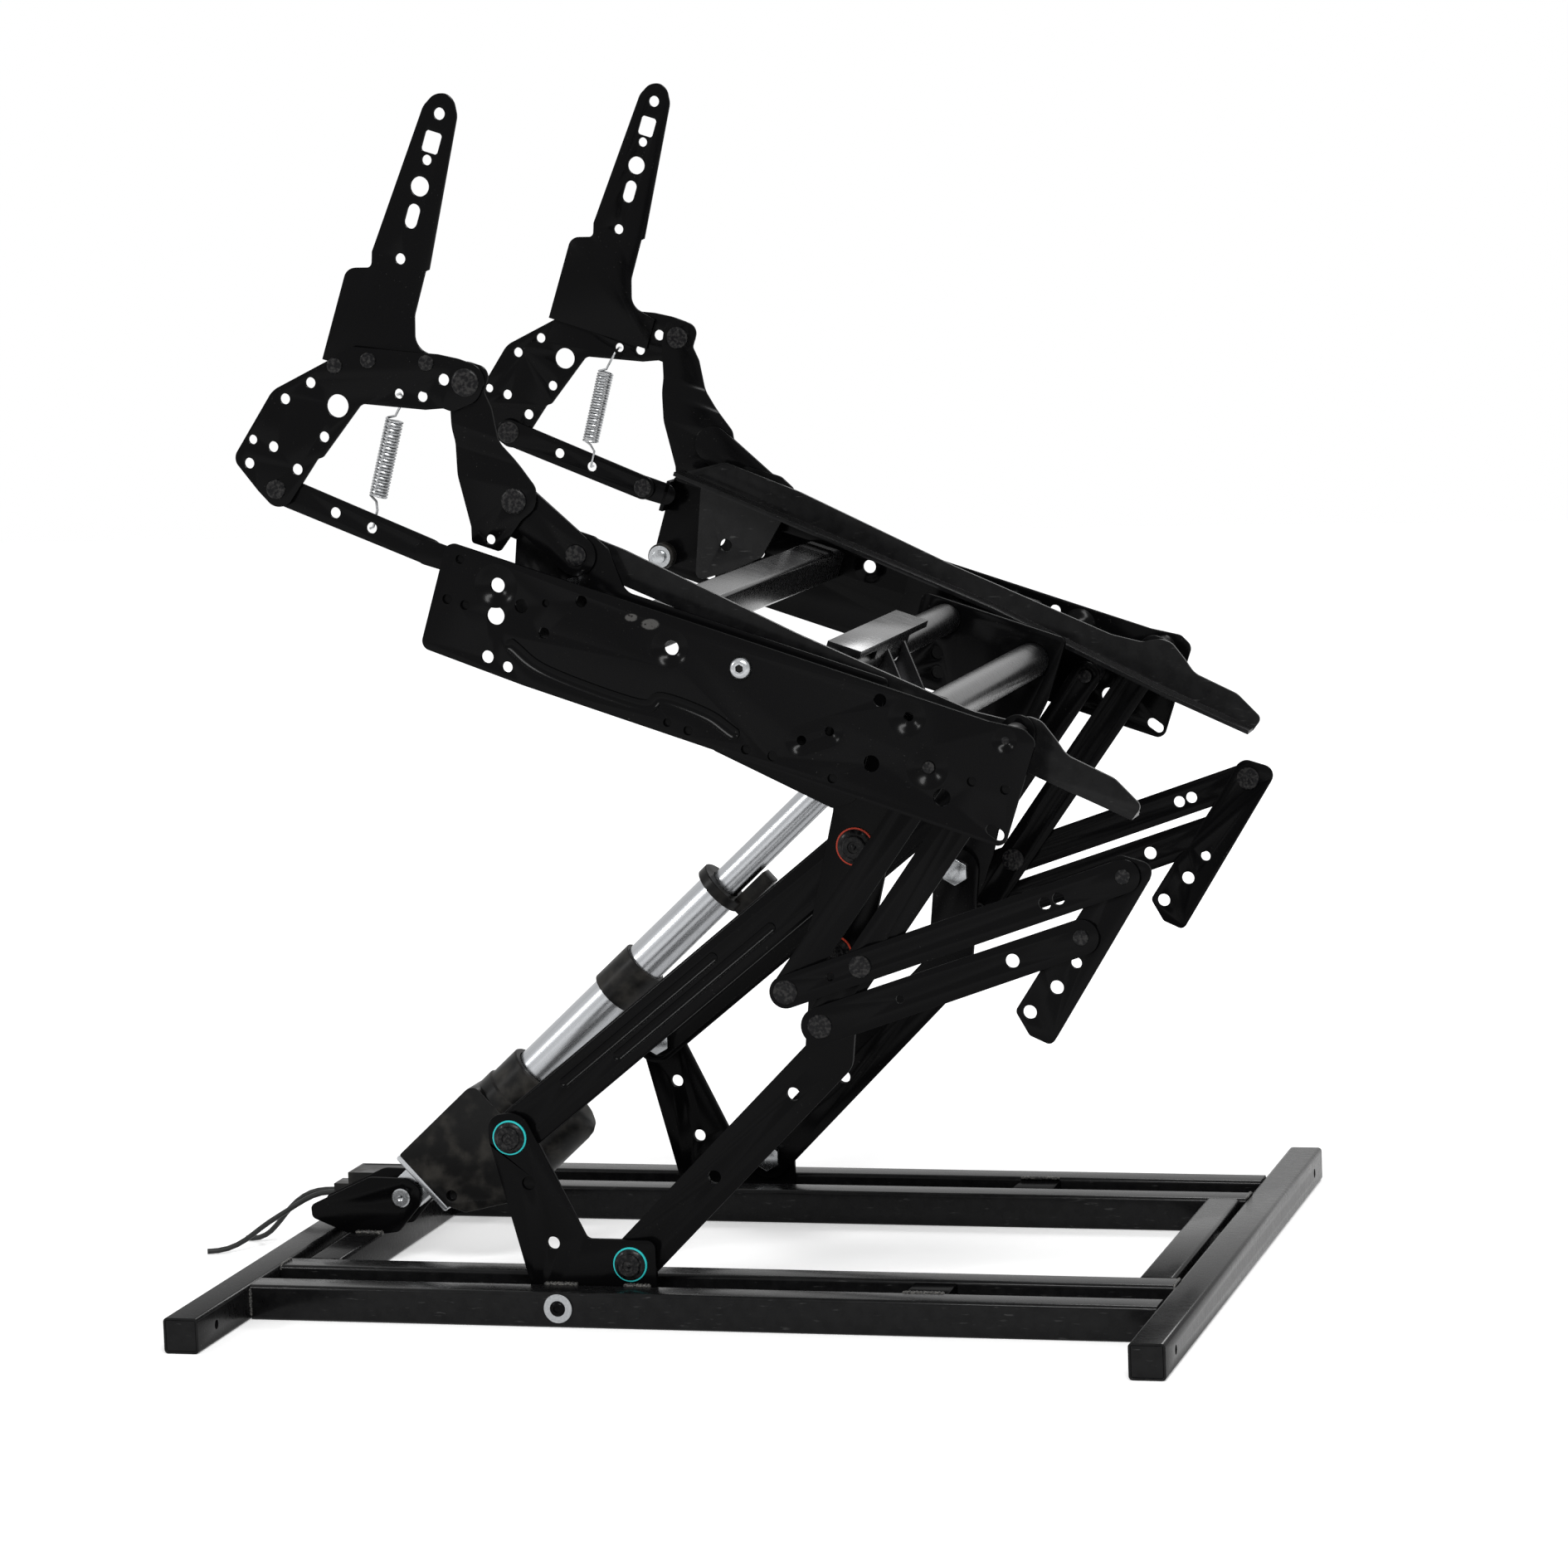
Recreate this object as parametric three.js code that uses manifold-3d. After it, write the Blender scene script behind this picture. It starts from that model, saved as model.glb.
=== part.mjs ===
// Recliner lift mechanism, shown raised: a welded base on the floor, two pairs of lift arms, a seat frame
// of side plates and cross tubes, a footrest linkage, a back linkage, and one linear actuator that lifts it.
// Millimetres. +Z is up, +X is the front of the chair, and the origin is the middle of the base on the floor.
import * as THREE from "three";
import { mergeVertices } from "three/addons/utils/BufferGeometryUtils.js";
import Module from "manifold-3d";

const wasm = await Module();
wasm.setup();
const { PI, cos, sin, tan, atan2, acos, ceil } = Math;
const radians = THREE.MathUtils.degToRad;
const point = (x, z) => new THREE.Vector2(x, z);

// Clearances and stock
const gap = 0.3;
const overrun = 1;
const sheet = 3;
const heavySheet = 5;
const fineHole = 4.4;
const wideHole = 9;
const hexagon = 6;
const fineSides = 8;
const wideSides = 12;
const roundSides = 16;

// Welded base of square tube
const baseLength = 704;
const baseWidth = 640;
const tube = 25.4;
const tubeCorner = 3;
const outerRailSpread = 409.6;
const innerRailSpread = 283.4;
const spacerLength = 31;
const spacerForward = 158;
const rearBarSetback = 12.6;
const frontBarSetback = 4.6;
const railBoltBack = 89.8;
const railBoltRadius = 10.3;
const railBoltHeight = 4;
const tubeHoleRadius = 3.4;
const tubeHoleInset = 36;

// Uprights on the base and the four lift arms
const liftSpread = 378.6;
const rearPivotBack = 136.5;
const rearPivotHeight = 129.5;
const frontPivotBack = 52;
const frontPivotHeight = 40.6;
const uprightHead = 15.4;
const uprightToe = 18.5;
const uprightRise = 17.2;
const uprightHeel = 9.2;
const uprightSink = 4.5;
const rearArmLength = 330;
const rearArmAngle = 38.8;
const rearArmWidth = 33;
const rearArmDepth = 10;
const rearArmWall = 3.5;
const beadWidth = 6;
const beadDepth = 1.5;
const frontArmLimb = 209;
const frontArmAngle = 45.2;
const frontArmWidth = 34;
const armHole = 4.8;

// Pivot bolts
const boltRadius = 6;
const boltHead = 8.8;
const boltHeadHeight = 4.5;
const washerRadius = 12.3;
const washerHeight = 1.4;
const nutRadius = 10.5;
const nutHeight = 7;
const rivetRadius = 5;
const rivetHead = 10.5;
const rivetHeadHeight = 1.6;

// Seat frame: side plates, rails, inner plates, cross tubes and lift plates
const seatTilt = 18.5;
const sideSpread = 558.4;
const sideSheet = 3.2;
const sideLength = 425;
const sideHeight = 78;
const sideBack = 311;
const sideRise = 51;
const domeDepth = 6;
const domeRadius = 13.7;
const domeFloorShare = 0.62;
const ribWidth = 9;
const ribDepth = 1.4;
const zincRadius = 7.7;
const zincHeight = 5;
const rollerRadius = 10;
const rollerWidth = 12;
const railInset = 46.7;
const railLength = 482;
const railFlange = 24;
const innerInset = 34;
const stripHeight = 10.5;
const stripClearance = 2;
const lobeLength = 106;
const lobeDrop = 71;
const torqueBack = 56.85;
const torqueRise = 103.03;
const torqueRadius = 11.5;
const frontTubeForward = 14.55;
const frontTubeRise = 93.12;
const frontTubeRadius = 13.5;
const frontTubeSpread = 402;
const liftPlateWidth = 44;
const liftPivotDrop = 76.6;
const liftPivotLean = 5;

// Back linkage
const reclineInset = 17.5;
const rearLinkLength = 55.9;
const rearLinkAngle = 156;
const rearLinkWidth = 28;
const postLength = 86;
const postAngle = 127.2;
const postWidth = 27;
const reclineSize = 156;
const barWidth = 20;
const hangerBack = 16;
const hangerDrop = 15;
const backArmLength = 199;
const springRadius = 5.7;
const springWire = 1.5;
const springPitch = 2.1;
const springCurls = 26;

// Footrest linkage
const footInset = 40.7;
const footLink = 194.6;
const footLinkAngle = -107.1;
const footTail = 50.8;
const footGround = 55.8;
const footReach = 192.9;
const footReachAngle = 37.3;
const upperWidth = 20;
const lowerWidth = 26.5;
const rearWidth = 21.8;
const frontWidth = 24.7;
const bracketSize = 142;
const bracketLip = 5.5;
const bracketLipWall = 2;

// Linear actuator, its clevis on the base and its yoke on the seat frame
const driveOffset = -28;
const clevisBack = 269.6;
const clevisHeight = 53.1;
const clevisGap = 30;
const clevisSheet = 4;
const clevisPin = 5;
const driveAngle = 42.6;
const driveLength = 529;
const lugRadius = 13;
const lugWidth = 27;
const endPlateStart = 18.5;
const endPlate = 4;
const housingWidth = 44;
const housingTop = 23.4;
const housingDrop = 41;
const housingLength = 80;
const collarLength = 36;
const collarRadius = 20.5;
const motorRadius = 21;
const motorDrop = 42;
const motorStart = 62;
const motorEnd = 145;
const outerTubeRadius = 15.4;
const outerTubeEnd = 333;
const clampStart = 222;
const clampLength = 34;
const clampWall = 2.6;
const ringLength = 8;
const ringRadius = 20;
const switchLength = 36;
const switchHeight = 11;
const switchWidth = 14;
const switchDrop = 18;
const rodRadius = 11.2;
const rodStroke = 72;
const rodEye = 13;
const yokeGap = 45;
const yokeSheet = 4;
const yokeArmWidth = 26;
const yokePlateLength = 200;
const yokePlateWidth = 25;
const yokeSlotLength = 178;
const yokeSlotWidth = 5;
const yokeSlotInset = 6;
const yokeShift = 12;
const boxLength = 38;
const boxWidth = 34;
const boxHeight = 36;
const boxClear = 6;
const plugLength = 14;
const plugWidth = 20;
const plugHeight = 16;
const leadRadius = 2;
const leadSpacing = 9;

// Layers, as distances from the middle plane, worked from the sheets and the gaps between them
const liftLayer = liftSpread / 2;
const armOuter = liftLayer - heavySheet / 2 - gap;
const sideLayer = sideSpread / 2;
const sideInner = sideLayer - sideSheet / 2;
const reclineLayer = sideLayer - reclineInset;
const backLayer = reclineLayer - sheet - gap;
const postFootLayer = backLayer - 2 * (sheet + gap);
const rearLinkLayer = postFootLayer - sheet - gap;
const innerLayer = sideLayer - innerInset;
const railLayer = sideLayer - railInset;
const footLayer = sideLayer - footInset;
const outerFootLayer = footLayer + sheet + gap;

// Turns a closed geometry into a solid, and a solid back into a geometry.
function solid(geometry) {
  const bare = geometry.clone();
  bare.deleteAttribute("normal");
  bare.deleteAttribute("uv");
  const merged = mergeVertices(bare, gap / 1000);
  const mesh = new wasm.Mesh({
    numProp: 3,
    vertProperties: new Float32Array(merged.attributes.position.array),
    triVerts: new Uint32Array(merged.index.array),
  });
  return new wasm.Manifold(mesh);
}

function geometryOf(body) {
  const { numProp, vertProperties, triVerts } = body.getMesh();
  const places = new Float32Array((vertProperties.length / numProp) * 3);
  for (let i = 0; i < places.length / 3; i++) {
    places.set(vertProperties.subarray(i * numProp, i * numProp + 3), i * 3);
  }
  const geometry = new THREE.BufferGeometry();
  geometry.setAttribute("position", new THREE.BufferAttribute(places, 3));
  geometry.setIndex(new THREE.BufferAttribute(new Uint32Array(triVerts), 1));
  const flat = geometry.toNonIndexed();
  flat.computeVertexNormals();
  return flat;
}

const join = (...bodies) => bodies.reduce((all, next) => all.add(next));
const cut = (body, ...tools) => tools.reduce((all, next) => all.subtract(next), body);

// A regular ring of points, with more sides on a wider hole.
function sidesOf(radius) {
  if (radius < fineHole) return hexagon;
  return radius < wideHole ? fineSides : wideSides;
}

function ring(centre, radius, sides = sidesOf(radius)) {
  return Array.from({ length: sides }, (_, i) => {
    const turn = (2 * PI * (i + 0.5)) / sides;
    return point(centre.x + radius * cos(turn), centre.y + radius * sin(turn));
  });
}

// A hole that a pin of this radius turns in, wide enough across its flats.
const bore = (centre, radius, sides = fineSides) => ring(centre, (radius + gap) / cos(PI / sides), sides);

function slot(centre, length, width, angle = 0) {
  const reach = (length - width) / 2;
  const lean = radians(angle);
  const step = point(reach * cos(lean), reach * sin(lean));
  return linkOutline(centre.clone().sub(step), centre.clone().add(step), width / 2, width / 2, 3);
}

// The outline round two circles, as on a flat link with rounded ends.
function linkOutline(from, to, fromRadius, toRadius = fromRadius, chords = 4) {
  const run = to.clone().sub(from);
  const heading = atan2(run.y, run.x);
  const spread = acos((fromRadius - toRadius) / run.length());
  const arc = (centre, radius, start, end) =>
    Array.from({ length: chords + 1 }, (_, i) => {
      const turn = start + ((end - start) * i) / chords;
      return point(centre.x + radius * cos(turn), centre.y + radius * sin(turn));
    });
  return [
    ...arc(to, toRadius, heading - spread, heading + spread),
    ...arc(from, fromRadius, heading + spread, heading + 2 * PI - spread),
  ];
}

// A band of even width along a bent path, with blunt rounded ends.
function ribbon(path, half) {
  const edge = (side) =>
    path.map((here, i) => {
      const back = path[Math.max(i - 1, 0)];
      const ahead = path[Math.min(i + 1, path.length - 1)];
      const run = ahead.clone().sub(back).normalize();
      return point(here.x - side * half * run.y, here.y + side * half * run.x);
    });
  const tip = (end, inner) => end.clone().add(end.clone().sub(inner).setLength(half * 0.7));
  return [...edge(-1), tip(path.at(-1), path.at(-2)), ...edge(1).reverse(), tip(path[0], path[1])];
}

// An outline whose corners [x, z, radius] are cut back and rounded with a few chords.
function outline(corners, chords = 2) {
  const limitShare = 0.48;
  return corners.flatMap(([x, z, radius = 0], i) => {
    const here = point(x, z);
    if (radius === 0) return [here];
    const before = corners.at(i - 1);
    const after = corners[(i + 1) % corners.length];
    const back = point(before[0] - x, before[1] - z);
    const ahead = point(after[0] - x, after[1] - z);
    const half = acos(back.dot(ahead) / (back.length() * ahead.length())) / 2;
    const run = Math.min(radius / tan(half), limitShare * Math.min(back.length(), ahead.length()));
    const start = here.clone().addScaledVector(back.normalize(), run);
    const end = here.clone().addScaledVector(ahead.normalize(), run);
    const curve = new THREE.QuadraticBezierCurve(start, here, end);
    return curve.getPoints(chords);
  });
}

// Places shares of a size round an anchor, in the plane of the side view.
const spot = (anchor, size, [x, z]) => point(anchor.x + x * size, anchor.y + z * size);
const spread = (anchor, size, shares) =>
  shares.map(([x, z, radius = 0]) => [anchor.x + x * size, anchor.y + z * size, radius * size]);

// A flat plate that stands in the side view, centred on the layer y.
function plate(points, holes, thickness, y = 0) {
  const shape = new THREE.Shape(points);
  shape.holes = holes.map((hole) => new THREE.Path(hole));
  const geometry = new THREE.ExtrudeGeometry(shape, {
    depth: thickness,
    bevelEnabled: false,
    curveSegments: 1,
  });
  geometry.rotateX(PI / 2);
  geometry.translate(0, y + thickness / 2, 0);
  return solid(geometry);
}

// A round pin, boss or cone across the mechanism, from one layer to another.
function pin(centre, from, to, radius, endRadius = radius, sides = sidesOf(radius)) {
  const low = Math.min(from, to);
  const high = Math.max(from, to);
  const [lowRadius, highRadius] = from < to ? [radius, endRadius] : [endRadius, radius];
  const geometry = new THREE.CylinderGeometry(highRadius, lowRadius, high - low, sides);
  geometry.translate(centre.x, (low + high) / 2, centre.y);
  return solid(geometry);
}

function block(size, place) {
  const geometry = new THREE.BoxGeometry(size.x, size.y, size.z);
  geometry.translate(place.x, place.y, place.z);
  return solid(geometry);
}
const vector = (x, y, z) => new THREE.Vector3(x, y, z);

// A square tube along X or Y with rounded edges, centred where it lies.
function squareTube(length, along) {
  const half = tube / 2;
  const corners = [[-half, -half], [half, -half], [half, half], [-half, half]];
  const section = outline(corners.map(([x, z]) => [x, z, tubeCorner]), 2);
  const geometry = new THREE.ExtrudeGeometry(new THREE.Shape(section), {
    depth: length,
    bevelEnabled: false,
  });
  geometry.translate(0, 0, -length / 2);
  if (along === "x") geometry.rotateY(PI / 2);
  else geometry.rotateX(PI / 2);
  return solid(geometry);
}

const paint = { color: 0x17181a, roughness: 0.5, metalness: 0.4 };
const steel = { color: 0x222427, roughness: 0.32, metalness: 0.7 };
const zinc = { color: 0xb9bcc0, roughness: 0.35, metalness: 0.9 };
const aluminium = { color: 0xc3c7cb, roughness: 0.28, metalness: 0.95 };
const plastic = { color: 0x1b1a19, roughness: 0.7, metalness: 0 };

function piece(name, body, finish) {
  const mesh = new THREE.Mesh(geometryOf(body), new THREE.MeshStandardMaterial(finish));
  mesh.name = name;
  return mesh;
}

const assembly = new THREE.Group();
const hands = [["right", -1], ["left", 1]];

// One group for each hand. Its pieces are drawn for the +Y side and mirrored for the other.
function flank(parent, sign) {
  const group = new THREE.Group();
  group.scale.y = sign;
  parent.add(group);
  return group;
}

// A bolt whose head and washer lie on the outer face, with an optional shank and nut inside.
function pivotBolt(centre, face, innerEnd) {
  const washer = pin(centre, face - gap, face + washerHeight, washerRadius, washerRadius, fineSides);
  const head = pin(centre, face, face + washerHeight + boltHeadHeight, boltHead);
  if (innerEnd === undefined) return join(washer, head);
  const shank = pin(centre, face, innerEnd - nutHeight / 2, boltRadius);
  const nut = pin(centre, innerEnd, innerEnd - nutHeight, nutRadius, nutRadius, hexagon);
  return join(washer, head, shank, nut);
}

// A flat rivet with a wide head on one face and a plain shank that ends at another layer.
function rivet(centre, face, headSide, end, head = rivetHead, radius = rivetRadius) {
  const top = face + headSide * rivetHeadHeight;
  return join(
    pin(centre, face - headSide * gap, top, head, head, fineSides),
    pin(centre, face, end, radius),
  );
}

// Base
const baseRailLength = baseLength - 2 * tube - 2 * gap;
const floorLine = tube / 2;
const crossReach = baseLength / 2 - tube / 2;
const outerRail = outerRailSpread / 2;
const innerRail = innerRailSpread / 2;

function crossTube(name, x, holeFace) {
  let body = squareTube(baseWidth, "y");
  for (const sign of [-1, 1]) {
    const drill = new THREE.CylinderGeometry(tubeHoleRadius, tubeHoleRadius, tube / 2, fineSides);
    drill.rotateZ(PI / 2);
    drill.translate((holeFace * tube) / 2, sign * (baseWidth / 2 - tubeHoleInset), 0);
    body = cut(body, solid(drill));
  }
  const mesh = piece(name, body, steel);
  mesh.position.set(x, 0, floorLine);
  return mesh;
}

function baseBar(name, x) {
  const bar = squareTube(innerRailSpread - tube - 2 * gap, "y");
  const mesh = piece(name, bar, paint);
  mesh.position.set(x, 0, floorLine);
  return mesh;
}

// The outer rail carries a bolt on its outer face and the block that ties it to the inner rail.
function outerRailPiece(name) {
  const spacerWidth = outerRail - innerRail - tube - gap;
  const spacer = block(
    vector(spacerLength, spacerWidth + overrun, tube - 2 * tubeCorner),
    vector(spacerForward, -tube / 2 - spacerWidth / 2 + overrun / 2, 0),
  );
  const height = floorLine - railBoltRadius / 2;
  const bolt = pin(point(-railBoltBack, height / 2), 0, tube / 2 + railBoltHeight, railBoltRadius);
  const mesh = piece(name, join(squareTube(baseRailLength, "x"), spacer, bolt), paint);
  mesh.position.set(0, outerRail, floorLine);
  return mesh;
}

function innerRailPiece(name) {
  const mesh = piece(name, squareTube(baseRailLength, "x"), paint);
  mesh.position.set(0, innerRail, floorLine);
  return mesh;
}

// Lift pivots, in the side view of the whole object
const rearPivot = point(-rearPivotBack, rearPivotHeight);
const frontPivot = point(-frontPivotBack, frontPivotHeight);
const polar = (from, length, angle) =>
  point(from.x + length * cos(radians(angle)), from.y + length * sin(radians(angle)));
const seatPivot = polar(rearPivot, rearArmLength, rearArmAngle);

// The seat frame's own side view: u runs forward along the seat and w is square to it.
const toSeat = (p) => p.clone().sub(seatPivot).rotateAround(point(0, 0), radians(seatTilt));
const fromSeat = (p) => p.clone().rotateAround(point(0, 0), radians(-seatTilt)).add(seatPivot);
const lowerSeatPivot = point(
  liftPivotDrop * sin(radians(liftPivotLean)),
  -liftPivotDrop * cos(radians(liftPivotLean)),
);
const plateFace = liftLayer + heavySheet / 2;
const armInner = armOuter - rearArmDepth;

// An upright stands inside the outer rail, with the two fixed pivots of the lift arms.
function upright(name) {
  const foot = uprightSink;
  const heel = rearPivot.x + uprightHeel;
  const toe = frontPivot.x + uprightToe;
  const shoulder = frontPivot.y + uprightRise;
  const waist = (rearPivot.x + frontPivot.x) / 2 + uprightRise;
  const headArc = linkOutline(rearPivot, polar(rearPivot, uprightHead, -65), uprightHead);
  const leg = outline([
    [heel, foot],
    [toe, foot],
    [toe, shoulder, uprightRise / 3],
    [waist, shoulder, uprightHead / 3],
    [rearPivot.x + uprightHead * cos(radians(22)), rearPivot.y + uprightHead * sin(radians(22))],
    [rearPivot.x - uprightHead, rearPivot.y - uprightHead / 6],
  ]);
  const between = (share) => rearPivot.clone().lerp(point(heel + uprightToe, foot), share);
  const holes = [ring(between(0.6), armHole)];
  const dimple = pin(between(0.3), plateFace - sheet / 2, plateFace + overrun, armHole);
  const body = join(
    plate(leg, [], heavySheet, liftLayer),
    plate(headArc, [], heavySheet, liftLayer),
  );
  const nutFace = armInner - gap;
  const flatNutFace = armOuter - heavySheet - gap;
  const cutHoles = holes.map((hole) => plate(hole, [], heavySheet + 2 * overrun, liftLayer));
  return piece(
    name,
    join(
      cut(body, dimple, ...cutHoles),
      pivotBolt(rearPivot, plateFace, nutFace + rearArmDepth - rearArmWall),
      pivotBolt(frontPivot, plateFace, flatNutFace),
    ),
    paint,
  );
}

// The rear lift arm is a pressed channel, open inwards, with two long beads in its web.
function rearArm(name) {
  const start = point(0, 0);
  const end = point(rearArmLength, 0);
  const half = rearArmWidth / 2;
  const y = armOuter - rearArmDepth / 2;
  const holes = [bore(start, boltRadius), bore(end, boltRadius)];
  const body = plate(linkOutline(start, end, half, half), holes, rearArmDepth, y);
  const pocketLayer = armOuter - rearArmWall - rearArmDepth / 2;
  const pocket = plate(
    linkOutline(start, end, half - rearArmWall, half - rearArmWall), [], rearArmDepth, pocketLayer);
  const beads = [[0.17, 0.6, 0.5], [0.3, 0.74, -0.5]].map(([near, far, across]) => {
    const line = across * (half - rearArmWall - beadWidth / 2);
    const path = linkOutline(
      point(near * rearArmLength, line), point(far * rearArmLength, line), beadWidth / 2, beadWidth / 2, 2);
    return plate(path, [], 2 * beadDepth, armOuter);
  });
  const mesh = piece(name, cut(body, pocket, ...beads), paint);
  mesh.position.set(rearPivot.x, 0, rearPivot.y);
  mesh.rotation.y = -radians(rearArmAngle);
  return mesh;
}

// The front lift arm is a flat bar with an elbow. Its top pivot is drawn without a through pin.
function frontArm(name) {
  const half = frontArmWidth / 2;
  const elbow = polar(frontPivot, frontArmLimb, frontArmAngle);
  const top = fromSeat(lowerSeatPivot);
  const y = armOuter - heavySheet / 2;
  const limb = plate(linkOutline(frontPivot, elbow, half), [bore(frontPivot, boltRadius)], heavySheet, y);
  const neck = plate(linkOutline(elbow, top, half), [], heavySheet, y);
  const drills = [0.42, 0.82].map((share) =>
    plate(ring(frontPivot.clone().lerp(elbow, share), armHole), [], heavySheet + 2 * overrun, y),
  );
  const inner = armOuter - heavySheet;
  const nut = pin(top, inner + gap, inner - nutHeight, nutRadius, nutRadius, hexagon);
  return piece(name, join(cut(join(limb, neck), ...drills), nut), paint);
}

// Seat frame features on the side plate, as shares of its length and height from the lower rear corner
const sidePoint = ([along, up]) => point(-sideBack + along * sideLength, sideRise + up * sideHeight);
const footTop = sidePoint([0.952, 0.881]);
const footRearTop = polar(footTop, footGround, footReachAngle + 180);
const rearTubeCentre = sidePoint([0.316, 0.665]);
const torqueCentre = point(-torqueBack, torqueRise);
const frontTubeCentre = point(frontTubeForward, frontTubeRise);
const linkRivet = sidePoint([0.191, 1.164]);
const zincBolt = spot(torqueCentre, lobeLength, [-0.3247, 0.0684]);
const driveEnd = polar(point(-clevisBack, clevisHeight), driveLength, driveAngle);
const yokePivot = toSeat(driveEnd);

// A dome pressed inwards: a cone of metal behind the sheet, and the hollow of it in front.
function dome(centre, radius) {
  const outer = sideLayer + sideSheet / 2;
  const floor = radius * domeFloorShare;
  const sides = fineSides;
  const boss = pin(centre, sideInner + gap, sideInner - domeDepth, radius, floor, sides);
  const slope = (radius - floor) / domeDepth;
  const mouth = radius + slope * overrun - gap;
  const hollow = pin(centre, outer + overrun, outer - domeDepth, mouth, floor - gap, sides);
  return { boss, hollow };
}

const sideHoleShares = [
  [0.029, 0.887, 0.037], [0.11, 0.514, 0.081], [0.026, 0.518, 0.04], [0.057, 0.519, 0.04],
  [0.147, 0.667, 0.062], [0.184, 0.758, 0.031], [0.239, 0.871, 0.051], [0.194, 0.505, 0.049],
  [0.115, 0.146, 0.056], [0.151, 0.117, 0.049], [0.427, 0.104, 0.034], [0.463, 0.095, 0.04],
  [0.561, 0.1, 0.044], [0.605, 0.119, 0.044], [0.76, 0.331, 0.072], [0.745, 0.877, 0.056],
  [0.707, 0.101, 0.042], [0.883, 0.247, 0.075], [0.921, 0.46, 0.042], [0.975, 0.485, 0.042],
];
const sideRibShares = [
  [0.149, 0.31], [0.217, 0.187], [0.375, 0.168], [0.408, 0.286], [0.486, 0.276], [0.534, 0.199],
];

// A side plate: pressed sheet with holes, domes, a wavy rib, the footrest studs and the rear hanger.
function sidePlate(name) {
  const outer = sideLayer + sideSheet / 2;
  const corner = sideHeight / 12;
  const edge = outline([
    [...sidePoint([0.004, 0.04]).toArray(), corner],
    [...sidePoint([0.185, 0.008]).toArray(), corner],
    [...sidePoint([1, 0]).toArray(), corner],
    [...sidePoint([1, 0.96]).toArray(), corner],
    [...sidePoint([0.975, 1.03]).toArray(), corner],
    [...sidePoint([0.92, 1]).toArray(), corner],
    [...sidePoint([0, 1]).toArray(), corner],
  ]);
  const holes = sideHoleShares.map(([along, up, radius]) =>
    ring(sidePoint([along, up]), radius * sideHeight),
  );
  holes.push(slot(sidePoint([0.979, 0.106]), sideHeight * 0.176, sideHeight * 0.1, -18));
  const domes = [
    [sidePoint([0.097, 0.763]), domeRadius, 0.066],
    [sidePoint([0.398, 0.726]), domeRadius * 0.84, 0.066],
    [sidePoint([0.794, 0.85]), domeRadius * 0.76, 0.042],
    [footRearTop, domeRadius, 0],
    [footTop, domeRadius * 0.76, 0],
  ];
  const oblongStart = sidePoint([0.641, 0.321]);
  const oblongEnd = sidePoint([0.68, 0.473]);
  let body = plate(edge, holes, sideSheet, sideLayer);
  const hollows = [];
  for (const [centre, radius, holeShare] of domes) {
    const { boss, hollow } = dome(centre, radius);
    body = join(body, boss);
    hollows.push(hollow);
    if (holeShare === 0) continue;
    const drill = ring(centre, holeShare * sideHeight);
    hollows.push(plate(drill, [], 2 * domeDepth + 4 * sideSheet, sideInner));
  }
  const oblong = linkOutline(oblongStart, oblongEnd, domeRadius * 0.7);
  hollows.push(plate(oblong, [], 2 * ribDepth, outer));
  for (const end of [oblongStart, oblongEnd]) {
    hollows.push(plate(ring(end, sideHeight * 0.045), [], 2 * domeDepth + 4 * sideSheet, sideInner));
  }
  const rib = sideRibShares.map(sidePoint);
  hollows.push(plate(ribbon(rib, ribWidth / 2), [], 2 * ribDepth, outer));
  body = cut(body, ...hollows);
  const studs = [footTop, footRearTop].map((centre) =>
    join(
      pin(centre, sideInner - domeDepth / 2, outerFootLayer - sheet / 2, rivetRadius * 1.6),
      pin(centre, outerFootLayer, railLayer + sheet / 2 + gap, rivetRadius),
    ),
  );
  const bolt = pin(zincBolt, outer - gap, outer + zincHeight, zincRadius, zincRadius, hexagon);
  const rollerPlace = sidePoint([0.027, 0.2]);
  const roller = join(
    pin(rollerPlace, sideInner + gap, sideInner - 2 * rollerWidth, rivetRadius, rivetRadius, hexagon),
    pin(rollerPlace, sideInner - rollerWidth / 2, sideInner - 1.5 * rollerWidth, rollerRadius),
  );
  return piece(name, join(body, ...studs, bolt, roller, rearHanger()), paint);
}

// The ear behind the side plate that carries the lower bar of the back linkage.
const hangerPivot = sidePoint([0, 1]).add(point(-hangerBack, -hangerDrop));
function rearHanger() {
  const rear = sidePoint([0, 1]);
  const wall = sideSheet;
  const depth = sideInner - reclineLayer + sheet / 2;
  const tab = block(
    vector(wall, depth + overrun, 1.6 * hangerDrop),
    vector(rear.x + wall / 2, sideInner - depth / 2 + overrun / 2, rear.y - 1.1 * hangerDrop),
  );
  const ear = plate(
    linkOutline(hangerPivot, point(rear.x + wall / 2, hangerPivot.y), barWidth * 0.45, barWidth * 0.4),
    [], sheet, reclineLayer);
  const headFace = backLayer - sheet / 2 - gap;
  const stud = pin(hangerPivot, reclineLayer, headFace, rivetRadius * 0.8);
  const head = pin(hangerPivot, headFace, headFace - rivetHeadHeight, rivetRadius * 1.4);
  return join(tab, ear, stud, head);
}

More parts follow.
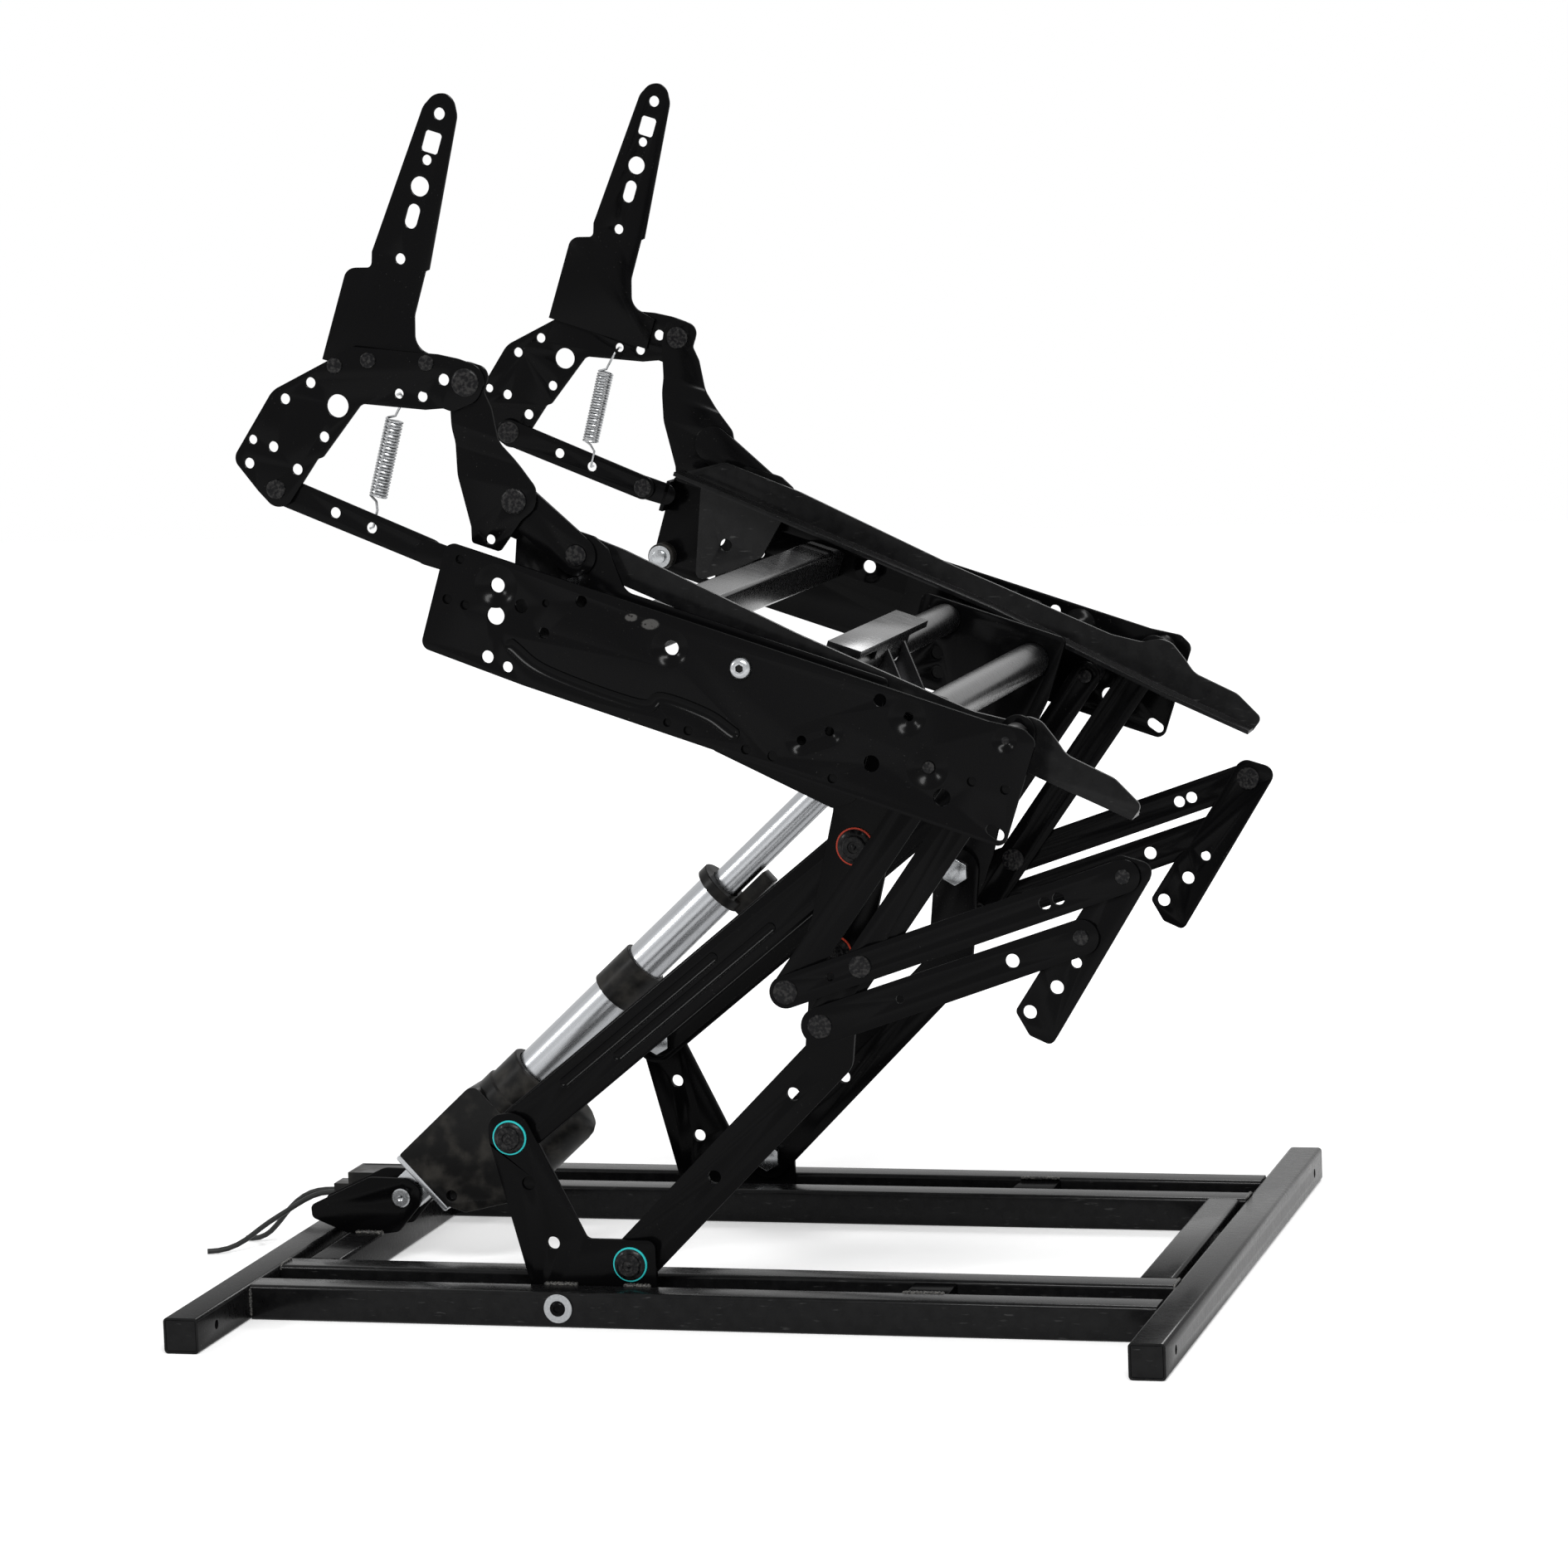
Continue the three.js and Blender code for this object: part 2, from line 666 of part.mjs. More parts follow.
// The seat rail: an angle whose flange turns inwards, with the hanging bracket behind.
function seatRail(name) {
  const anchor = spot(rearTubeCentre, railLength, [0.5608, 0.03495]);
  const at = (share) => spot(anchor, railLength, share);
  const bottomShares = [[-0.806, 0.038], [-0.256, -0.0098], [0.045, -0.053], [0.186, -0.068]];
  const topShares = [
    [0.194, -0.045], [0.146, -0.02], [0.072, -0.01], [0.053, 0.005], [0.025, 0.024], [0.007, 0.025],
    [-0.008, 0.018], [-0.02, 0.011], [-0.07, 0.007], [-0.341, 0.033], [-0.613, 0.069], [-0.742, 0.077],
  ];
  const bottom = bottomShares.map(at);
  const top = topShares.map(at);
  const web = plate([...bottom, ...top], [], sheet, railLayer);
  const lift = point(0, sheet);
  const band = [...bottom, ...bottom.map((p) => p.clone().add(lift)).reverse()];
  const flange = plate(band, [], railFlange, railLayer + sheet / 2 - railFlange / 2);
  const bracketShares = [
    [-0.773, 0.05], [-0.622, 0.034], [-0.642, -0.05], [-0.683, -0.085], [-0.735, -0.12],
  ];
  const hole = ring(at([-0.703, -0.049]), armHole);
  const bracketEdge = outline(bracketShares.map((share) => [...at(share).toArray(), sheet]));
  const bracket = plate(bracketEdge, [hole], sheet, railLayer);
  const standoff = pin(linkRivet, railLayer, innerLayer - sheet / 2 - gap, rivetRadius * 1.4);
  return piece(name, join(web, flange, bracket, standoff), steel);
}

// The inner plate carries the torque tube, the rear link's rivet and the spacers to the side plate.
function innerPlate(name) {
  const stripLow = rearTubeCentre.y + tube / 2 + stripClearance;
  const stripHigh = stripLow + stripHeight;
  const front = torqueCentre.x + lobeLength * 0.55;
  const back = torqueCentre.x - lobeLength * 0.45;
  const low = torqueCentre.y - lobeDrop;
  const crown = linkRivet.y + rivetHead;
  const corner = stripHeight / 2;
  const edge = outline([
    [back, stripLow],
    [back, low + lobeDrop * 0.17, corner],
    [front - lobeLength * 0.12, low, corner],
    [front, low + lobeDrop * 0.12, corner],
    [front, stripHigh, corner],
    [linkRivet.x + rearLinkWidth * 1.4, stripHigh],
    [linkRivet.x + rearLinkWidth * 0.7, crown, corner],
    [linkRivet.x + rearLinkWidth * 0.3, crown + corner, corner],
    [linkRivet.x - rearLinkWidth * 0.9, crown + corner, corner],
    [linkRivet.x - rearLinkWidth * 0.2, stripLow, corner],
  ]);
  const holes = [ring(torqueCentre, torqueRadius + 2 * gap, roundSides)];
  const outer = innerLayer + sheet / 2;
  const spacerEnd = sideInner - gap;
  const lobeSpacer = spot(torqueCentre, lobeLength, [0.249, 0.098]);
  const places = [zincBolt, sidePoint([0.2, 0.91]), lobeSpacer];
  const spacers = places.map((place) => pin(place, innerLayer, spacerEnd, rivetRadius));
  const body = plate(edge, holes, sheet, innerLayer);
  const linkEnd = rearLinkLayer + sheet / 2 + gap;
  const linkPin = pin(linkRivet, outer - gap, linkEnd + rivetHeadHeight, rivetRadius);
  const linkHead = pin(linkRivet, linkEnd, linkEnd + rivetHeadHeight, rivetHead, rivetHead, fineSides);
  return piece(name, join(body, ...spacers, linkPin, linkHead), paint);
}

// Cross members
function rearCrossMember(name) {
  const mesh = piece(name, squareTube(2 * (sideInner - gap), "y"), steel);
  mesh.position.set(rearTubeCentre.x, 0, rearTubeCentre.y);
  return mesh;
}

function torqueTube(name) {
  const reach = innerLayer + sheet / 2;
  const body = pin(torqueCentre, -reach, reach, torqueRadius, torqueRadius, roundSides);
  return piece(name, body, steel);
}

function frontTube(name) {
  const reach = frontTubeSpread / 2;
  const body = pin(frontTubeCentre, -reach, reach, frontTubeRadius, frontTubeRadius, roundSides);
  return piece(name, body, steel);
}

// A lift plate hangs from the cross tubes and ends in the two moving pivots of the lift arms.
function liftPlate(name) {
  const half = liftPlateWidth / 2;
  const low = lowerSeatPivot;
  const left = torqueCentre.x - half;
  const right = frontTubeCentre.x + half * 0.95;
  const top = torqueCentre.y + half * 0.65;
  const shoulder = torqueCentre.y - half * 2.5;
  const edge = outline([
    [left, top, half / 4],
    [left, shoulder, half / 4],
    [-half * 1.6, shoulder, half / 2],
    [-half, half * 0.9, half / 2],
    [low.x - half, low.y + half, half],
    [low.x - half, low.y - half, half * 1.6],
    [low.x + half, low.y - half, half * 1.6],
    [low.x + half, low.y + half, half / 2],
    [half * 1.1, 0, half / 2],
    [right, frontTubeCentre.y - half, half / 2],
    [right, top, half / 4],
  ], 2);
  const holes = [
    ring(torqueCentre, torqueRadius + 2 * gap),
    ring(frontTubeCentre, frontTubeRadius + 2 * gap),
    ring(point(torqueCentre.x + half * 0.05, torqueCentre.y - half * 1.22), armHole),
    ring(point(torqueCentre.x + half * 0.26, torqueCentre.y - half * 1.86), armHole),
  ];
  const body = plate(edge, holes, heavySheet, liftLayer);
  const upperBolt = pivotBolt(point(0, 0), plateFace, armOuter - rearArmWall - gap);
  const lowerBolt = pivotBolt(low, plateFace);
  return piece(name, join(body, upperBolt, lowerBolt), paint);
}

// The yoke: two welded arms round the torque tube that hold the rod end, under a slotted plate.
function driveYoke(name) {
  const layers = [-1, 1].map((sign) => driveOffset + (sign * (yokeGap + yokeSheet)) / 2);
  const half = yokeArmWidth / 2;
  const crown = torqueCentre.y + torqueRadius + 2 * gap;
  const arms = layers.map((y) => {
    const arm = plate(linkOutline(torqueCentre, yokePivot, half * 1.3, half * 0.8), [], yokeSheet, y);
    const seat = block(
      vector(yokePlateWidth, yokeSheet, torqueRadius + 2 * gap),
      vector(torqueCentre.x, y, torqueCentre.y + (torqueRadius + 2 * gap) / 2),
    );
    const eye = plate(ring(torqueCentre, torqueRadius + 2 * gap, roundSides), [], yokeSheet + 2 * overrun, y);
    return cut(join(arm, seat), eye);
  });
  const bolts = [-1, 1].map((sign) => {
    const face = driveOffset + sign * (yokeGap / 2 + yokeSheet);
    return pin(yokePivot, face - sign * gap, face + sign * boltHeadHeight, boltHead, boltHead, hexagon);
  });
  const strap = block(
    vector(yokePlateWidth, yokePlateLength, sheet),
    vector(torqueCentre.x, driveOffset - yokeShift, crown + sheet / 2),
  );
  const slotLine = torqueCentre.x + yokePlateWidth / 2 - yokeSlotInset;
  const opening = block(
    vector(yokeSlotWidth, yokeSlotLength, sheet + 2 * overrun),
    vector(slotLine, driveOffset - yokeShift, crown + sheet / 2),
  );
  return piece(name, join(...arms, ...bolts, cut(strap, opening)), paint);
}

// Back linkage
const backPivot = polar(linkRivet, rearLinkLength, rearLinkAngle);
const backTop = polar(backPivot, postLength, postAngle);
const backFoot = spot(backTop, reclineSize, [-0.702, -0.708]);

function rearLink(name) {
  const half = rearLinkWidth / 2;
  const body = plate(
    linkOutline(backPivot, linkRivet, half, half),
    [bore(linkRivet, rivetRadius)],
    sheet,
    rearLinkLayer,
  );
  const end = postFootLayer + sheet / 2 + gap;
  const stud = pin(backPivot, rearLinkLayer, end + rivetHeadHeight, rivetRadius);
  const head = pin(backPivot, end, end + rivetHeadHeight, rivetHead, rivetHead, fineSides);
  return piece(name, join(body, stud, head), paint);
}

// The post turns on the rear link. It steps outwards halfway up to reach the recline plate.
function post(name) {
  const half = postWidth / 2;
  const size = postLength;
  const edge = outline([
    ...spread(backPivot, size, [
      [-0.72, 0.68, 0.05], [-0.5, 0.06, 0.3], [-0.28, -0.3, 0.02], [-0.24, -0.42, 0.03],
      [0.0, -0.42, 0.03], [0.1, -0.13, 0.1], [0.2, 0.02, 0.14], [0.13, 0.16, 0.1],
      [-0.23, 0.42, 0.2], [-0.36, 0.66, 0.1],
    ]),
    [backTop.x + half, backTop.y - half / 4, half / 4],
    [backTop.x + half, backTop.y + half, half],
    [backTop.x - half, backTop.y + half, half],
  ]);
  const tailHole = ring(spot(backPivot, size, [-0.1, -0.35]), armHole * 0.7);
  const holes = [bore(backPivot, rivetRadius), bore(backTop, rivetRadius), tailHole];
  const inner = postFootLayer - sheet / 2;
  const outer = backLayer + sheet / 2;
  const bendLow = backPivot.y + size * 0.3;
  const bendHigh = backPivot.y + size * 0.42;
  const reach = size * 0.8;
  const bottom = backPivot.y - reach;
  const top = backPivot.y + 2 * reach;
  const profile = new THREE.Shape([
    point(inner, bottom), point(inner + sheet, bottom), point(inner + sheet, bendLow),
    point(outer, bendHigh), point(outer, top), point(outer - sheet, top),
    point(outer - sheet, bendHigh), point(inner, bendLow),
  ]);
  const sheetForm = new THREE.ExtrudeGeometry(profile, { depth: 2 * reach, bevelEnabled: false });
  sheetForm.rotateX(PI / 2);
  sheetForm.rotateZ(PI / 2);
  sheetForm.translate(backPivot.x - reach * 1.4, 0, 0);
  const full = plate(edge, holes, outer - inner, (inner + outer) / 2);
  return piece(name, full.intersect(solid(sheetForm)), paint);
}

const reclineShares = [
  [-0.537, -0.004, 0.02], [-0.155, 0.079, 0.03], [-0.06, 0.088, 0.03], [0.03, 0.085, 0.06],
  [0.085, 0.045, 0.06], [0.075, -0.06, 0.06], [-0.02, -0.14, 0.04], [-0.065, -0.138, 0.01],
  [-0.14, -0.168, 0.02], [-0.417, -0.228, 0.02], [-0.432, -0.242, 0.01], [-0.535, -0.51, 0.02],
  [-0.556, -0.523, 0.02], [-0.63, -0.76, 0.06], [-0.69, -0.79, 0.05], [-0.78, -0.74, 0.04],
  [-0.93, -0.64, 0.04], [-0.835, -0.296, 0.06], [-0.62, -0.09, 0.06],
];
const reclineHoleShares = [
  [-0.53, -0.272, 0.051], [-0.77, -0.315, 0.024], [-0.677, -0.212, 0.024], [-0.098, -0.018, 0.026],
  [-0.276, -0.137, 0.022], [-0.17, -0.117, 0.024], [-0.553, -0.421, 0.024], [-0.865, -0.531, 0.021],
  [-0.766, -0.533, 0.024], [-0.853, -0.636, 0.024], [-0.633, -0.595, 0.025],
];
const springHole = spot(backTop, reclineSize, reclineHoleShares[4]);

// The recline plate joins the post, the lower bar and the back arm.
function reclinePlate(name) {
  const edge = outline(spread(backTop, reclineSize, reclineShares), 1);
  const holes = reclineHoleShares.map(([x, z, r]) =>
    ring(spot(backTop, reclineSize, [x, z]), r * reclineSize));
  const body = plate(edge, holes, sheet, reclineLayer);
  const outer = reclineLayer + sheet / 2;
  const postEnd = backLayer - sheet / 2 - gap;
  const rivets = [
    join(rivet(backTop, outer, 1, postEnd - rivetHeadHeight, rivetHead * 1.1),
      pin(backTop, postEnd, postEnd - rivetHeadHeight, rivetHead * 0.8)),
    pin(backFoot, outer - gap, outer + rivetHeadHeight, rivetHead * 1.1, rivetHead * 1.1, fineSides),
  ];
  return piece(name, join(body, ...rivets), paint);
}

// The back arm is a long tapered plate with the slots and holes that take the chair's back.
function backArm(name) {
  const size = backArmLength;
  const foot = spot(backTop, reclineSize, [-0.435, -0.1]);
  const arm = spread(foot, size, [
    [-0.175, 0], [-0.175, 0.325, 0.04], [-0.09, 0.352, 0.02], [-0.098, 0.385, 0.01], [-0.103, 0.404],
    [-0.061, 0.93, 0.06], [-0.03, 0.99, 0.06], [0.03, 0.99, 0.06], [0.062, 0.93, 0.06],
    [0.108, 0.404], [0.097, 0.395], [0.1, 0.24, 0.06], [0.13, 0.14, 0.06], [0.235, 0.12], [0.235, 0],
  ]);
  const at = (share) => spot(foot, size, share);
  const holes = [
    ring(at([0, 0.92]), size * 0.021), ring(at([0, 0.758]), size * 0.018),
    ring(at([0, 0.665]), size * 0.034), ring(at([0, 0.41]), size * 0.019),
    slot(at([0.002, 0.561]), size * 0.086, size * 0.047, 90),
    outline(spread(at([0.0005, 0.82]), size,
      [[-0.031, -0.037], [0.031, -0.037], [0.031, 0.037], [-0.031, 0.037]])),
  ];
  return piece(name, plate(outline(arm), holes, sheet, backLayer), paint);
}

// The lower bar turns on the hanger behind the side plate. Its rear pivot is drawn without a through pin.
function lowerBar(name) {
  const half = barWidth / 2;
  const run = (share) => backFoot.clone().lerp(hangerPivot, share);
  const holes = [
    bore(hangerPivot, rivetRadius * 0.8), ring(run(0.38), armHole * 0.8), ring(run(0.62), armHole * 0.8),
  ];
  const body = plate(linkOutline(backFoot, hangerPivot, half, half * 0.9), holes, sheet, backLayer);
  const inner = backLayer - sheet / 2;
  const head = pin(backFoot, inner + gap, inner - rivetHeadHeight, rivetHead * 0.8);
  return piece(name, join(body, head), paint);
}

// An extension spring: one unbroken wire with close curls and a hook at each end.
const springFoot = backFoot.clone().lerp(hangerPivot, 0.62);
const springSteps = 7;
const springSides = 5;
function springPath() {
  const start = springHole;
  const end = springFoot;
  const axis = end.clone().sub(start);
  const length = axis.length();
  axis.normalize();
  const coil = springPitch * springCurls;
  const lead = (length - coil) / 2;
  const side = point(axis.y, -axis.x);
  const y = reclineLayer - springRadius * 0.75;
  const places = [];
  const put = (along, across, out) => {
    const x = start.x + axis.x * along + side.x * across;
    const z = start.y + axis.y * along + side.y * across;
    places.push(vector(x, y + out, z));
  };
  const hookStep = springWire;
  put(hookStep * 0.3, 0, reclineLayer - y + sheet / 2 + springWire);
  put(0, 0, reclineLayer - y - sheet / 2);
  put(hookStep * 2, 0, springWire);
  put(lead * 0.55, 0, 0);
  put(lead * 0.82, springRadius * 0.45, 0);
  for (let i = 0; i <= springCurls * springSteps; i++) {
    const turn = (2 * PI * i) / springSteps;
    put(lead + (coil * i) / (springCurls * springSteps), springRadius * cos(turn), springRadius * sin(turn));
  }
  const inside = backLayer - y - sheet / 2 - springWire;
  put(length - lead * 0.82, springRadius * 0.45, inside / 2);
  put(length - lead * 0.62, 0, inside);
  put(length - hookStep * 1.5, 0, inside);
  put(length, 0, inside + springWire / 2);
  put(length, 0, backLayer - y + sheet / 2 + springWire);
  return places;
}

// Sweeps a round section of a few sides along places and closes both ends.
function sweptTube(places, radius, sides) {
  const rings = [];
  let across = vector(0, 1, 0);
  places.forEach((place, i) => {
    const before = places[Math.max(i - 1, 0)];
    const after = places[Math.min(i + 1, places.length - 1)];
    const heading = after.clone().sub(before).normalize();
    across = across.clone().addScaledVector(heading, -across.dot(heading));
    if (across.length() < gap) across = vector(1, 0, 0).addScaledVector(heading, -heading.x);
    across.normalize();
    const up = heading.clone().cross(across);
    rings.push(Array.from({ length: sides }, (_, k) => {
      const turn = (2 * PI * k) / sides;
      const corner = place.clone().addScaledVector(across, radius * cos(turn));
      return corner.addScaledVector(up, radius * sin(turn));
    }));
  });
  const corners = [];
  const face = (...points) => points.forEach((p) => corners.push(p.x, p.y, p.z));
  for (let i = 1; i < rings.length; i++) {
    for (let k = 0; k < sides; k++) {
      const next = (k + 1) % sides;
      face(rings[i - 1][k], rings[i - 1][next], rings[i][next]);
      face(rings[i - 1][k], rings[i][next], rings[i][k]);
    }
  }
  for (let k = 1; k < sides - 1; k++) {
    face(rings[0][0], rings[0][k + 1], rings[0][k]);
    const last = rings.at(-1);
    face(last[0], last[k], last[k + 1]);
  }
  const geometry = new THREE.BufferGeometry();
  geometry.setAttribute("position", new THREE.Float32BufferAttribute(corners, 3));
  return { geometry, rings };
}

// The least distance between surface points that lie more than half a curl apart along the wire.
function leastGap(rings, skip) {
  let least = Infinity;
  for (let i = 0; i < rings.length; i++) {
    for (let j = i + skip; j < Math.min(rings.length, i + skip * 4); j++) {
      for (const a of rings[i]) for (const b of rings[j]) least = Math.min(least, a.distanceTo(b));
    }
  }
  return least;
}

function spring(name) {
  const { geometry, rings } = sweptTube(springPath(), springWire / 2, springSides);
  console.log(`${name}: least gap between curls ${leastGap(rings, ceil(springSteps / 2) + 1).toFixed(2)} mm`);
  geometry.computeVertexNormals();
  const mesh = new THREE.Mesh(geometry, new THREE.MeshStandardMaterial(zinc));
  mesh.name = name;
  return mesh;
}

// Footrest linkage: front and rear links hang from the side plate and push the upper and lower links.
const footElbow = polar(footTop, footLink, footLinkAngle);
const footTip = polar(footElbow, footTail, footLinkAngle);
const footRearEnd = polar(footRearTop, footLink, footLinkAngle);
const upperEnd = polar(footElbow, footReach, footReachAngle);
const lowerEnd = polar(footTip, footReach, footReachAngle);
const footFace = outerFootLayer + sheet / 2;

function frontFootLink(name) {
  const half = frontWidth / 2;
  const holes = [bore(footTop, rivetRadius), bore(footElbow, rivetRadius), bore(footTip, rivetRadius)];
  return piece(name, plate(linkOutline(footTop, footTip, half), holes, sheet, footLayer), paint);
}

// The rear link's lower pivot is drawn without a through pin.
function rearFootLink(name) {
  const half = rearWidth / 2;
  const body = plate(
    linkOutline(footRearTop, footRearEnd, half), [bore(footRearTop, rivetRadius)], sheet, footLayer);
  const inner = footLayer - sheet / 2;
  const tail = pin(footRearEnd, inner + gap, inner - rivetHeadHeight, rivetHead * 0.8);
  return piece(name, join(body, tail), paint);
}

function footRivet(centre) {
  const inner = footLayer - sheet / 2 - gap;
  return join(
    rivet(centre, footFace, 1, inner - rivetHeadHeight),
    pin(centre, inner, inner - rivetHeadHeight, rivetHead * 0.8),
  );
}

function upperFootLink(name) {
  const half = upperWidth / 2;
  const along = (share) => footRearEnd.clone().lerp(upperEnd, share);
  const holeShares = [[0.772, 0.9], [0.812, 0.9], [0.135, 0.6]];
  const holes = holeShares.map(([share, size]) => ring(along(share), armHole * size));
  const limb = plate(linkOutline(footRearEnd, upperEnd, half * 1.15, half * 1.4), [], sheet, outerFootLayer);
  const body = cut(limb, ...holes.map((hole) => plate(hole, [], 2 * sheet, outerFootLayer)));
  const head = pin(footRearEnd, footFace - gap, footFace + rivetHeadHeight, rivetHead, rivetHead, fineSides);
  return piece(name, join(body, head, footRivet(footElbow), footRivet(upperEnd)), paint);
}

// The lower link's bracket pivot is drawn without a through pin.
function lowerFootLink(name) {
  const half = lowerWidth / 2;
  const along = (share) => footTip.clone().lerp(lowerEnd, share);
  const holes = [ring(along(0.31), armHole * 0.6), ring(along(0.74), armHole)];
  const limb = plate(linkOutline(footTip, lowerEnd, half, half * 0.92), holes, sheet, outerFootLayer);
  const head = pin(lowerEnd, footFace - gap, footFace + rivetHeadHeight, rivetHead * 0.8);
  return piece(name, join(limb, head, footRivet(footTip)), paint);
}

// The footrest bracket takes the footboard on its front edge, which has a thin turned lip.
function footBracket(name) {
  const size = bracketSize;
  const edge = outline(spread(upperEnd, size, [
    [0.138, 0.096, 0.06], [-0.093, -0.888, 0.03], [-0.208, -0.876, 0.03], [-0.307, -0.786, 0.03],
    [-0.245, -0.55, 0.1], [-0.19, -0.44, 0.05], [-0.175, -0.34, 0.1], [-0.11, -0.1, 0.1], [-0.07, 0.09, 0.06],
  ]));
  const holes = [
    bore(upperEnd, rivetRadius),
    ring(spot(upperEnd, size, [-0.15, -0.613]), armHole),
    ring(spot(upperEnd, size, [-0.239, -0.769]), armHole),
    ring(spot(upperEnd, size, [-0.095, -0.47]), armHole * 0.8),
  ];
  const body = plate(edge, holes, sheet, footLayer);
  const inward = point(-bracketLipWall / 2, 0);
  const start = spot(upperEnd, size, [0.12, 0.02]).add(inward);
  const end = spot(upperEnd, size, [-0.085, -0.85]).add(inward);
  const lipEdge = linkOutline(start, end, bracketLipWall / 2, bracketLipWall / 2, 2);
  const lip = plate(lipEdge, [], bracketLip, footLayer + sheet / 2 - bracketLip / 2);
  return piece(name, join(body, lip), paint);
}

// Linear actuator, drawn along its own axis from the clevis pin
const driveGroup = new THREE.Group();
driveGroup.position.set(-clevisBack, driveOffset, clevisHeight);
driveGroup.rotation.y = -radians(driveAngle);

// A round body along the actuator's axis, from one distance to another.
function barrel(from, to, radius, across = 0) {
  const geometry = new THREE.CylinderGeometry(radius, radius, to - from, roundSides);
  geometry.rotateZ(PI / 2);
  geometry.translate((from + to) / 2, 0, across);
  return solid(geometry);
}

function gearHousing(name) {
  const eye = point(0, 0);
  const lug = plate(
    linkOutline(eye, point(endPlateStart, 0), lugRadius), [bore(eye, clevisPin)], lugWidth);
  const heel = -housingDrop * 0.65;
  const plateBody = block(
    vector(endPlate, housingWidth, housingTop - heel),
    vector(endPlateStart + endPlate / 2, 0, (housingTop + heel) / 2),
  );
  const start = endPlateStart + endPlate - gap;
  const end = start + housingLength;
  const corner = housingLength / 20;
  const shellEdge = outline([
    [start, housingTop, corner / 2],
    [start, heel, corner / 2],
    [start + housingLength * 0.1, -housingDrop, corner],
    [motorStart, -motorDrop - motorRadius * 0.8, 1.5 * corner],
    [end, -motorDrop - motorRadius * 0.4, 1.5 * corner],
    [end, housingTop, 2 * corner],
  ]);
  const shell = plate(shellEdge, [], housingWidth);
  const collar = barrel(end - overrun, end + collarLength, collarRadius);
  const seat = barrel(end - overrun, end + collarLength + overrun, outerTubeRadius + 2 * gap);
  const pocket = barrel(motorStart - gap, end + overrun, motorRadius + 2 * gap, -motorDrop);
  return piece(name, cut(join(lug, plateBody, shell, collar), seat, pocket), plastic);
}

function motor(name) {
  const body = barrel(motorStart, motorEnd - motorRadius / 4, motorRadius, -motorDrop);
  const nose = new THREE.CylinderGeometry(motorRadius * 0.7, motorRadius, motorRadius / 4, roundSides);
  nose.rotateZ(-PI / 2);
  nose.translate(motorEnd - motorRadius / 8, 0, -motorDrop);
  return piece(name, join(body, solid(nose)), plastic);
}

const tubeStart = endPlateStart + endPlate + housingLength;
function outerTube(name) {
  const body = barrel(tubeStart, outerTubeEnd, outerTubeRadius);
  const hollow = barrel(tubeStart + outerTubeRadius, outerTubeEnd + overrun, rodRadius + gap);
  return piece(name, cut(body, hollow), aluminium);
}

function tubeClamp(name) {
  const body = barrel(clampStart, clampStart + clampLength, outerTubeRadius + clampWall);
  const hole = barrel(clampStart - overrun, clampStart + clampLength + overrun, outerTubeRadius + gap);
  return piece(name, cut(body, hole), plastic);
}

// The end ring closes the outer tube round the rod and carries the limit switch block.
function endRing(name) {
  const start = outerTubeEnd + gap;
  const body = barrel(start, start + ringLength, ringRadius);
  const switchBlock = block(
    vector(switchLength, switchWidth, switchHeight),
    vector(start + switchLength / 2 + overrun, 0, -switchDrop - gap),
  );
  const hole = barrel(start - overrun, start + 2 * switchLength, rodRadius + 2 * gap);
  return piece(name, cut(join(body, switchBlock), hole), plastic);
}

// The rod slides in the outer tube. Its end is a cross sleeve that lies between the yoke's arms.
function driveRod(name) {
  const body = barrel(tubeStart + outerTubeRadius + rodStroke, driveLength - rodEye / 2, rodRadius);
  const half = yokeGap / 2 - gap;
  const eye = pin(point(driveLength, 0), -half, half, rodEye, rodEye, roundSides);
  return piece(name, join(body, eye), aluminium);
}

// The clevis: two ears on a base that is welded to the rear bar of the base.
const clevisPoint = point(-clevisBack, clevisHeight);
function clevis(name) {
  const seatHeight = tube + gap;
  const rise = clevisHeight - seatHeight;
  const ears = [-1, 1].map((sign) => {
    const y = driveOffset + (sign * (clevisGap + clevisSheet)) / 2;
    const edge = outline(spread(clevisPoint, rise, [
      [-2.6, -0.26, 0.15], [-2.58, -0.6, 0.15], [-1.6, -1, 0], [-0.5, -1, 0.1], [-0.13, -0.95, 0.2],
      [0.51, -0.2, 0.3], [0.53, 0.26, 0.3], [0.17, 0.51, 0.2], [-0.91, 0.53, 0.3],
    ]));
    return plate(edge, [bore(clevisPoint, clevisPin)], clevisSheet, y);
  });
  const base = block(
    vector(rise * 0.9, clevisGap + overrun, clevisSheet),
    vector(clevisPoint.x - rise * 1.1, driveOffset, seatHeight + clevisSheet / 2),
  );
  return piece(name, join(...ears, base), paint);
}

function clevisPinPiece(name) {
  const reach = clevisGap / 2 + clevisSheet + gap;
  const end = reach + overrun;
  const shank = pin(clevisPoint, driveOffset - end, driveOffset + end, clevisPin);
  const heads = [-1, 1].map((sign) => {
    const face = driveOffset + sign * reach;
    return pin(clevisPoint, face, face + sign * sheet, clevisPin * 1.4, clevisPin * 1.4, wideSides);
  });
  return piece(name, join(shank, ...heads), zinc);
}

